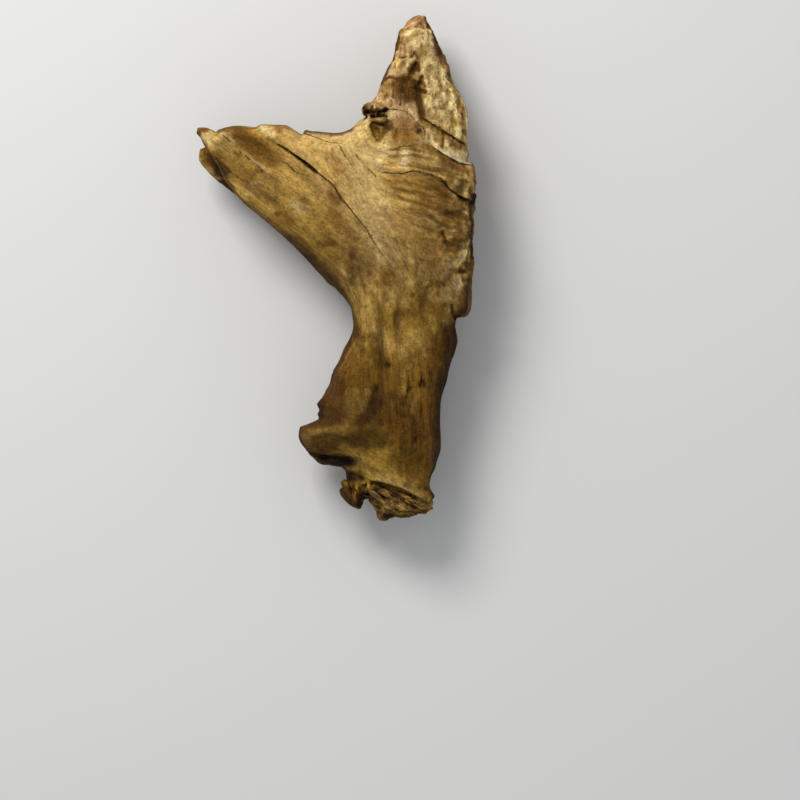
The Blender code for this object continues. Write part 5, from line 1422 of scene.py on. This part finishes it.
def broad_tones(x, y):
    """The wood's broad tones, blended between the places that name them."""
    total = np.zeros(len(x))
    colour = np.zeros((len(x), 3))
    for name, (px, py) in TONES:
        weight = np.exp(-((x - px) ** 2 + (y - py) ** 2) / TONE_REACH**2) + 1e-9
        total += weight
        colour += weight[:, None] * tone(name)
    return colour / total[:, None]


def mixed(colour, name, share):
    """The colour moved towards a named tone by each point's share."""
    return colour + np.clip(share, 0, 1)[:, None] * (tone(name) - colour)


def stroke_share(x, y, line, half):
    """1 on a painted line, falling to about a third at its half-width."""
    low = np.min(line, axis=0) - 2.5 * half
    high = np.max(line, axis=0) + 2.5 * half
    share = np.zeros(len(x))
    own = (x > low[0]) & (x < high[0]) & (y > low[1]) & (y < high[1])
    gap, _, _ = near_line(x[own], y[own], line if len(line) > 1 else [line[0], line[0]])
    share[own] = np.exp(-((gap / half) ** 3))
    return share


def grain_shares(x, y):
    """How much of each place belongs to each direction of the fine grain."""
    weights = []
    for lines, reach, _ in GRAIN.values():
        gap = np.min([near_line(x, y, line)[0] for line in lines], axis=0)
        weights.append(np.exp(-((gap / reach) ** 2)) + 1e-6)
    total = sum(weights)
    return [weight / total for weight in weights]


def streaks(x, y, z, grain, noise, width):
    """Uneven lines along the fine grain, between about -1 and 1."""
    def pattern(along, across, z):
        return noise.at(along / (8 * width), across / width, z / (1.5 * width))
    return along_grain(x, y, z, grain, GRAIN_ANGLES, pattern)


def front_share(normals, z):
    """1 on the front, 0 on the steep and the low faces."""
    return fade(normals[:, 2], 0.05, 0.35) * fade(z, 5, 9)


def wandered(points, normals, noise, size):
    """The places of the steep sides moved about with the height, so that no tone runs straight down them."""
    x, y, z = points.T
    share = size * fade(normals[:, 2], 0.15, -0.35)
    moved_x = x + share * noise.at(x / 3.2 + 3, y / 3.2, z / 3.2)
    moved_y = y + share * noise.at(x / 3.2, y / 3.2 + 7, z / 3.2)
    return moved_x, moved_y


def with_strokes(colour, points, normals, cloud, noise):
    """The tones with the stains, pale places, painted shade and painted highlights laid over them: the
    front's, and the painted shade of its rim and of the slot.
    """
    z = points[:, 2]
    front = front_share(normals, z)
    # The rim and slot masks carry painted shade: dark rims and a black slot.
    rim = fade(normals[:, 2], -0.4, 0.0) * fade(z, 12, 18)
    slot = rim * fade(z + 4 * cloud, 17.5, 21.5)
    x, y = nudged(*nudged(*wandered(points, normals, noise, 2.0), noise, 0.4, 1.5), noise, 0.25, 0.6)
    for place, strokes in STROKES.items():
        reach = {"edges": rim, "slot": slot}.get(place, front)
        for name, strength, half, line in strokes:
            colour = mixed(colour, name, strength * reach * stroke_share(x, y, line, half))
    return colour


def with_shade_dirt_and_highlights(colour, points, normals, relief, blade, plan, noise):
    """The tones darkened with painted shade and dirt in hollows and in the fine cracks, with painted shade in
    the low places of the relief and painted highlights on its ridges.
    """
    # Painted shade and dirt where the surface is closed in.
    ahead = wood(points + CAVITY_PROBE * normals, plan, noise)
    hollow = np.clip(1 - ahead / CAVITY_PROBE, 0, 1)
    colour = mixed(colour, "bark", 0.75 * fade(hollow, 0.25, 1.0))
    # Painted shade in the low places of the relief, then a painted highlight on its ridges.
    colour = mixed(colour, "umber", (1 - blade) * np.clip(-1.6 * relief - 0.04, 0, 0.7))
    colour = mixed(colour, "hazel", blade * np.clip(-1.3 * relief, 0, 0.5))
    colour = colour * (1 + np.clip(0.8 * relief, 0, 0.16))[:, None]
    # Painted shade and dirt in the fine cracks.
    gap, width, deep = fine_crack(points[:, 0], points[:, 1], noise)
    crack = front_share(normals, points[:, 2]) * np.exp(-((gap / (1.25 * width)) ** 3))
    colour = mixed(colour, "umber", crack * np.clip(0.4 + deep, 0, 0.9))
    return mixed(colour, "pitch", crack * np.clip(deep - 0.6, 0, 0.8))


def painted(mesh, plan, noise):
    """Each point's colour in linear light, painted shade and highlights included, how pitted and how ridged
    it is, and its shares of the grain.
    """
    points, normals = mesh_arrays(mesh)
    x, y, z = points.T
    frayed, shares = plan.grain_at(x, y)
    blade, arm, curl, trunk, nose = shares
    grain = grain_shares(x, y)
    front = front_share(normals, z)
    wide_x, wide_y = nudged(*wandered(points, normals, noise, 3.5), noise, 2.2, 6.0)
    colour = broad_tones(*nudged(wide_x, wide_y, noise, 1.0, 2.2))
    cloud = noise.at(x / 4.5 + 11, y / 4.5, z / 4.5)
    mottle = noise.at(x / 1.7, y / 1.7 + 8, z / 1.7)
    lines = streaks(x, y, z, grain, noise, 1.0)
    thin_lines = streaks(x, y, z, grain, noise, 0.5)
    colour = mixed(colour, "hazel", 0.35 * np.clip(cloud, 0, 1) * (1 - 0.6 * np.maximum(blade, arm)))
    colour = mixed(colour, "rust", 0.16 * np.clip(-cloud, 0, 1))
    blotch = fade(noise.at(x / 2.4, y / 2.0 + 5, z / 2.4), 0.0, 0.35)
    waist = fade(np.hypot(x - WAIST[0], y - WAIST[1]), WAIST_REACH, 0.4 * WAIST_REACH)
    colour = mixed(colour, "hazel", 0.4 * waist * blotch)
    colour = mixed(colour, "cream", 0.25 * waist * fade(mottle, 0.1, 0.4))
    # Painted shade on the steep and downward-facing sides, streaked along the grain.
    side = fade(normals[:, 2], 0.5, -0.1)
    colour = mixed(colour, "umber", side * (0.75 - 0.35 * blade))
    colour = mixed(colour, "bark", 0.35 * side * np.clip(lines + 0.2, 0, 1))
    colour = with_strokes(colour, points, normals, cloud, noise)
    light = 1 + 0.09 * mottle + 0.04 * lines + 0.03 * thin_lines
    light += (1 - waist) * (0.1 * trunk + 0.13 * curl) * (lines + 0.9 * thin_lines)
    light += front * (0.09 * arm + 0.08 * curl + 0.05 * blade - 0.1 * nose - 0.04 * trunk)
    colour = colour * light[:, None]
    relief = fine_relief(x, y, z, shares, grain, frayed, noise)
    colour = with_shade_dirt_and_highlights(colour, points, normals, relief, blade, plan, noise)
    return to_linear(np.clip(colour, 0.01, 0.95)), blade * front, trunk, grain


def to_linear(colour):
    """Screen colour to linear light."""
    return np.where(colour <= 0.04045, colour / 12.92, ((colour + 0.055) / 1.055) ** 2.4)


def store_point_values(mesh, name, values, kind="FLOAT"):
    """Keeps one number or one colour for each point of the mesh."""
    layer = mesh.attributes.new(name, kind, "POINT")
    if kind == "FLOAT_COLOR":
        alpha = np.ones((len(values), 1))
        layer.data.foreach_set("color", np.hstack([values, alpha]).ravel())
    else:
        layer.data.foreach_set("value", values)


def add_node(tree, kind, inputs=(), **settings):
    """Adds a node, sets its properties and fills its inputs with values or with other nodes' sockets."""
    node = tree.nodes.new(kind)
    for name, value in settings.items():
        setattr(node, name, value)
    for name, value in dict(inputs).items():
        if isinstance(value, bpy.types.NodeSocket):
            tree.links.new(value, node.inputs[name])
        else:
            node.inputs[name].default_value = value
    return node


class Nodes:
    """A short way to add and join shader nodes."""

    def __init__(self, material):
        material.use_nodes = True
        self.tree = material.node_tree
        self.shader = self.tree.nodes["Principled BSDF"]

    def add(self, kind, inputs=(), **settings):
        return add_node(self.tree, kind, inputs, **settings)

    def math(self, operation, *values):
        return self.add("ShaderNodeMath", dict(enumerate(values)), operation=operation).outputs[0]

    def number(self, name):
        return self.add("ShaderNodeAttribute", attribute_name=name).outputs["Fac"]

    def noise(self, place, scale, detail=2.0, roughness=0.55, bend=0.0):
        inputs = {
            "Vector": place, "Scale": scale, "Detail": detail, "Roughness": roughness, "Distortion": bend,
        }
        return self.add("ShaderNodeTexNoise", inputs).outputs["Fac"]

    def ranged(self, value, low, high, out_low, out_high):
        inputs = {"Value": value, "From Min": low, "From Max": high, "To Min": out_low, "To Max": out_high}
        return self.add("ShaderNodeMapRange", inputs).outputs["Result"]

    def mix(self, share, first, second, blend="MIX"):
        """Mixes two colours, given as sockets or as red, green, blue and alpha."""
        inputs = {0: share, 6: first, 7: second}
        return self.add("ShaderNodeMix", inputs, data_type="RGBA", blend_type=blend).outputs[2]


def grain_lines(nodes, place, length, width):
    """Noise drawn out along each direction of grain and blended by their shares."""
    total = 0.0
    for name, (_, _, angle) in GRAIN.items():
        inputs = {"Vector": place, "Rotation": (0, 0, np.radians(angle)), "Scale": (length, width, width)}
        laid = nodes.add("ShaderNodeMapping", inputs, vector_type="TEXTURE").outputs[0]
        lines = nodes.noise(laid, 1.0, 3.0, 0.6, 0.8)
        total = nodes.math("MULTIPLY_ADD", lines, nodes.number("grain_" + name), total)
    return total


def wood_material():
    """Dry weathered wood: the painted tones, broken up by grain, pits and specks, matt and uneven."""
    material = bpy.data.materials.new("weathered_wood")
    nodes = Nodes(material)
    place = nodes.add("ShaderNodeTexCoord").outputs["Object"]
    painted_tone = nodes.add("ShaderNodeAttribute", attribute_name="tone").outputs["Color"]
    pitted = nodes.number("pitted")
    broad = grain_lines(nodes, place, *BROAD_GRAIN)
    thin = grain_lines(nodes, place, *THIN_GRAIN)
    specks = nodes.noise(place, SPECK_SCALE, 2.0, 0.6)
    mottling = nodes.noise(place, MOTTLE_SCALE, 3.0, 0.6)
    pits = nodes.noise(place, PIT_SCALE, 2.0, 0.5)

    lined = nodes.ranged(nodes.number("ridged"), 0.0, 1.0, 0.5, 1.0)
    light = nodes.math("MULTIPLY_ADD", lined, broad, 1.0)
    light = nodes.math("MULTIPLY_ADD", lined, -0.5, light)
    light = nodes.math("MULTIPLY_ADD", nodes.math("SUBTRACT", thin, 0.5), 1.3, light)
    light = nodes.math("MULTIPLY_ADD", nodes.math("SUBTRACT", specks, 0.5), 1.1, light)
    light = nodes.math("MULTIPLY_ADD", nodes.math("SUBTRACT", mottling, 0.5), 1.0, light)
    # Painted shade in the blade's pits and a faint painted highlight on the ridges between them.
    pit_shade_and_highlight = nodes.math("MULTIPLY", nodes.ranged(pits, 0.36, 0.5, -0.22, 0.06), pitted)
    light = nodes.math("MAXIMUM", nodes.math("ADD", light, pit_shade_and_highlight), 0.3)
    channels = {0: light, 1: nodes.math("POWER", light, 1.1), 2: nodes.math("POWER", light, 1.25)}
    tint = nodes.add("ShaderNodeCombineXYZ", channels).outputs[0]
    colour = nodes.mix(1.0, painted_tone, tint, "MULTIPLY")
    nodes.tree.links.new(colour, nodes.shader.inputs["Base Color"])

    roughness = nodes.ranged(thin, 0.3, 0.7, 0.88, 0.66)
    nodes.tree.links.new(roughness, nodes.shader.inputs["Roughness"])
    nodes.shader.inputs["Specular IOR Level"].default_value = 0.06
    height = nodes.math("MULTIPLY", thin, 0.5)
    height = nodes.math("MULTIPLY_ADD", broad, 0.6, height)
    height = nodes.math("MULTIPLY_ADD", specks, 0.45, height)
    height = nodes.math("MULTIPLY_ADD", nodes.math("MULTIPLY", pits, pitted), 1.6, height)
    bump = nodes.add("ShaderNodeBump", {"Height": height, "Strength": 0.9, "Distance": 0.0005})
    nodes.tree.links.new(bump.outputs["Normal"], nodes.shader.inputs["Normal"])
    return material


def fibre_bed(surface, plan):
    """The part of the surface that loose fibres grow from: the upward faces of the frayed root end."""
    points, normals = mesh_arrays(surface.data)
    turn = np.radians(FRAY_ANGLE)
    edge = np.array(FIBRE_EDGE)
    ends = points[:, :2] + FIBRE_LENGTH * np.array([np.cos(turn), np.sin(turn)])
    below = points[:, 1] < np.interp(points[:, 0], edge[:, 0], edge[:, 1], edge[0, 1], edge[-1, 1])
    inside = plan.at(ends[:, 0], ends[:, 1])[0] > FIBRE_MARGIN
    beside = points[:, 0] > edge[0, 0]
    rooted = below & beside & inside & (normals[:, 2] > 0.3) & (points[:, 2] > FIBRE_LEVEL)
    bm = bmesh.new()
    bm.from_mesh(surface.data)
    bm.verts.ensure_lookup_table()
    bare = [vert for vert in bm.verts if not rooted[vert.index]]
    bmesh.ops.delete(bm, geom=bare, context="VERTS")
    mesh = bpy.data.meshes.new("loose_fibres")
    bm.to_mesh(mesh)
    bm.free()
    mesh.materials.clear()
    obj = bpy.data.objects.new("loose_fibres", mesh)
    bpy.context.scene.collection.objects.link(obj)
    return obj


def fibre_tree(material):
    """Geometry nodes that lay tapered fibres along the frayed grain of a bed, each in its own shade."""
    tree = bpy.data.node_groups.new("loose_fibres", "GeometryNodeTree")

    def entry(name, kind):
        return tree.interface.new_socket(name, in_out="INPUT", socket_type=kind)

    def add(kind, inputs=(), **settings):
        return add_node(tree, kind, inputs, **settings)

    entry("Geometry", "NodeSocketGeometry")
    density = entry("Fibres per square metre", "NodeSocketFloat")
    length = entry("Fibre length", "NodeSocketFloat")
    seed = entry("Seed", "NodeSocketInt")
    tree.interface.new_socket("Geometry", in_out="OUTPUT", socket_type="NodeSocketGeometry")

    start = add("NodeGroupInput").outputs
    spots = add("GeometryNodeDistributePointsOnFaces", {
        "Mesh": start[0], "Density": start["Fibres per square metre"], "Seed": start["Seed"],
    }).outputs["Points"]
    strand = add("GeometryNodeMeshCone", {
        "Vertices": 5, "Radius Top": FIBRE_TIP * MM, "Radius Bottom": FIBRE_ROOT * MM,
        "Depth": start["Fibre length"],
    }).outputs["Mesh"]
    turn = np.radians(FRAY_ANGLE)
    way = (np.cos(turn), np.sin(turn), FIBRE_LIFT)
    laid = add("FunctionNodeAlignEulerToVector", {"Vector": way}, axis="Z").outputs["Rotation"]
    stray = add("FunctionNodeRandomValue", {
        0: (-FIBRE_STRAY, -FIBRE_STRAY, -FIBRE_STRAY), 1: (FIBRE_STRAY, FIBRE_STRAY, FIBRE_STRAY),
        "Seed": start["Seed"],
    }, data_type="FLOAT_VECTOR").outputs[0]
    turned = add("FunctionNodeRotateEuler", {"Rotation": laid, "Rotate By": stray}).outputs["Rotation"]
    size = add("FunctionNodeRandomValue", {2: 0.5, 3: 1.3, "Seed": start["Seed"]}).outputs[1]
    strands = add("GeometryNodeInstanceOnPoints", {
        "Points": spots, "Instance": strand, "Rotation": turned, "Scale": size,
    }).outputs["Instances"]
    own_shade = add("FunctionNodeRandomValue", {2: 0.0, 3: 1.0, "Seed": start["Seed"]}).outputs[1]
    shaded = add("GeometryNodeStoreNamedAttribute", {
        "Geometry": strands, "Name": "shade", "Value": own_shade,
    }, domain="INSTANCE", data_type="FLOAT").outputs["Geometry"]
    real = add("GeometryNodeRealizeInstances", {"Geometry": shaded}).outputs["Geometry"]
    done = add("GeometryNodeSetMaterial", {"Geometry": real, "Material": material}).outputs["Geometry"]
    add("NodeGroupOutput", {0: done})
    return tree, {density.identifier: FIBRE_DENSITY, length.identifier: FIBRE_LENGTH * MM, seed.identifier: 7}


def fibre_material():
    """Dry loose fibre, from dark to straw-coloured, each strand a little different."""
    material = bpy.data.materials.new("loose_fibre")
    nodes = Nodes(material)
    place = nodes.add("ShaderNodeTexCoord").outputs["Object"]
    shade = nodes.number("shade")
    dark = (*to_linear(tone("bark")), 1)
    light = (*to_linear(tone("ochre")), 1)
    colour = nodes.mix(shade, dark, light)
    worn = nodes.ranged(nodes.noise(place, FIBRE_SPECK_SCALE, 3.0), 0.35, 0.65, 0.0, 0.5)
    colour = nodes.mix(worn, colour, (*to_linear(tone("bark")), 1))
    nodes.tree.links.new(colour, nodes.shader.inputs["Base Color"])
    roughness = nodes.ranged(shade, 0.0, 1.0, 0.85, 0.7)
    nodes.tree.links.new(roughness, nodes.shader.inputs["Roughness"])
    bump = nodes.add("ShaderNodeBump", {"Height": worn, "Strength": 0.5, "Distance": 0.0002})
    nodes.tree.links.new(bump.outputs["Normal"], nodes.shader.inputs["Normal"])
    return material


def loose_fibres(surface, plan):
    """Fibres that stand loose from the frayed root end, in a piece of their own."""
    obj = fibre_bed(surface, plan)
    tree, settings = fibre_tree(fibre_material())
    strands = obj.modifiers.new("fibres", "NODES")
    strands.node_group = tree
    for identifier, value in settings.items():
        strands[identifier] = value
    mesh = finished(obj)
    mesh.shade_smooth()
    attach(obj, "root")


def pale_floor():
    bpy.ops.mesh.primitive_plane_add(size=FLOOR_SIZE)
    floor = bpy.context.object
    floor.name = "floor"
    material = bpy.data.materials.new("pale_floor")
    material.use_nodes = True
    shader = material.node_tree.nodes["Principled BSDF"]
    shader.inputs["Base Color"].default_value = FLOOR_TONE
    shader.inputs["Roughness"].default_value = 0.9
    floor.data.materials.append(material)


def studio():
    """Soft light from beyond the blade, a little to the left, and an even pale sky."""
    lamp = bpy.data.lights.new("key", "AREA")
    lamp.size = KEY_SIZE
    lamp.energy = KEY_POWER
    lamp.color = KEY_TINT
    key = bpy.data.objects.new("key", lamp)
    key.location = KEY_PLACE
    key.rotation_euler = (Vector(KEY_AIM) - Vector(KEY_PLACE)).to_track_quat("-Z", "Y").to_euler()
    bpy.context.scene.collection.objects.link(key)
    world = bpy.data.worlds.new("studio")
    world.use_nodes = True
    sky = world.node_tree.nodes["Background"]
    sky.inputs["Color"].default_value = SKY_TINT
    sky.inputs["Strength"].default_value = SKY_STRENGTH
    bpy.context.scene.world = world
    bpy.context.scene.view_settings.view_transform = "Standard"


def overhead_camera():
    """Straight down on the front. A pixel is PIXEL wide at the wood's middle level."""
    camera = bpy.data.cameras.new("camera")
    camera.sensor_width = 36
    camera.lens = camera.sensor_width * CAMERA_HEIGHT / (IMAGE_SIZE * PIXEL * MM)
    obj = bpy.data.objects.new("camera", camera)
    across = (IMAGE_SIZE / 2 - WOOD_CENTRE_PIXEL[0]) * PIXEL * MM
    along = (WOOD_CENTRE_PIXEL[1] - IMAGE_SIZE / 2) * PIXEL * MM
    obj.location = (across, along, MIDDLE_LEVEL + CAMERA_HEIGHT)
    bpy.context.scene.collection.objects.link(obj)
    bpy.context.scene.camera = obj


def fine_surface(plan, noise):
    """The wood's fine surface as a mesh object in its place, closer meshed beside the fine cracks."""
    field, corner = wood_field(plan, noise)
    points, faces = largest_part(*surface_of(field, corner, CELL))
    mesh = bpy.data.meshes.new(PIECE)
    mesh.from_pydata((points * MM).tolist(), [], faces.tolist())
    obj = bpy.data.objects.new(PIECE, mesh)
    bpy.context.scene.collection.objects.link(obj)
    even = obj.modifiers.new("even", "REMESH")
    even.mode = "VOXEL"
    even.voxel_size = VOXEL * MM
    finished(obj)
    settle(obj.data, plan, noise)
    thin_back(obj, BACK_TRIANGLES)
    for band in CRACK_BANDS:
        refine(obj.data, near_front_crack(obj.data, noise, band))
    settle(obj.data, plan, noise)
    return obj


def weathered_wood():
    """The whole piece of wood, with its fine surface, its tones and its material."""
    plan = Plan()
    noise = Noise(seed=11)
    add_small_parts(plan, noise)
    obj = fine_surface(plan, noise)
    colour, pitted, ridged, grain = painted(obj.data, plan, noise)
    add_detail(obj.data, plan, noise)
    store_point_values(obj.data, "tone", colour, "FLOAT_COLOR")
    store_point_values(obj.data, "pitted", pitted)
    store_point_values(obj.data, "ridged", ridged)
    for name, values in zip(GRAIN, grain):
        store_point_values(obj.data, "grain_" + name, values)
    obj.data.shade_smooth()
    obj.data.materials.append(wood_material())
    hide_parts(NODE)
    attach(obj, "root")
    loose_fibres(obj, plan)


weathered_wood()
pale_floor()
studio()
overhead_camera()
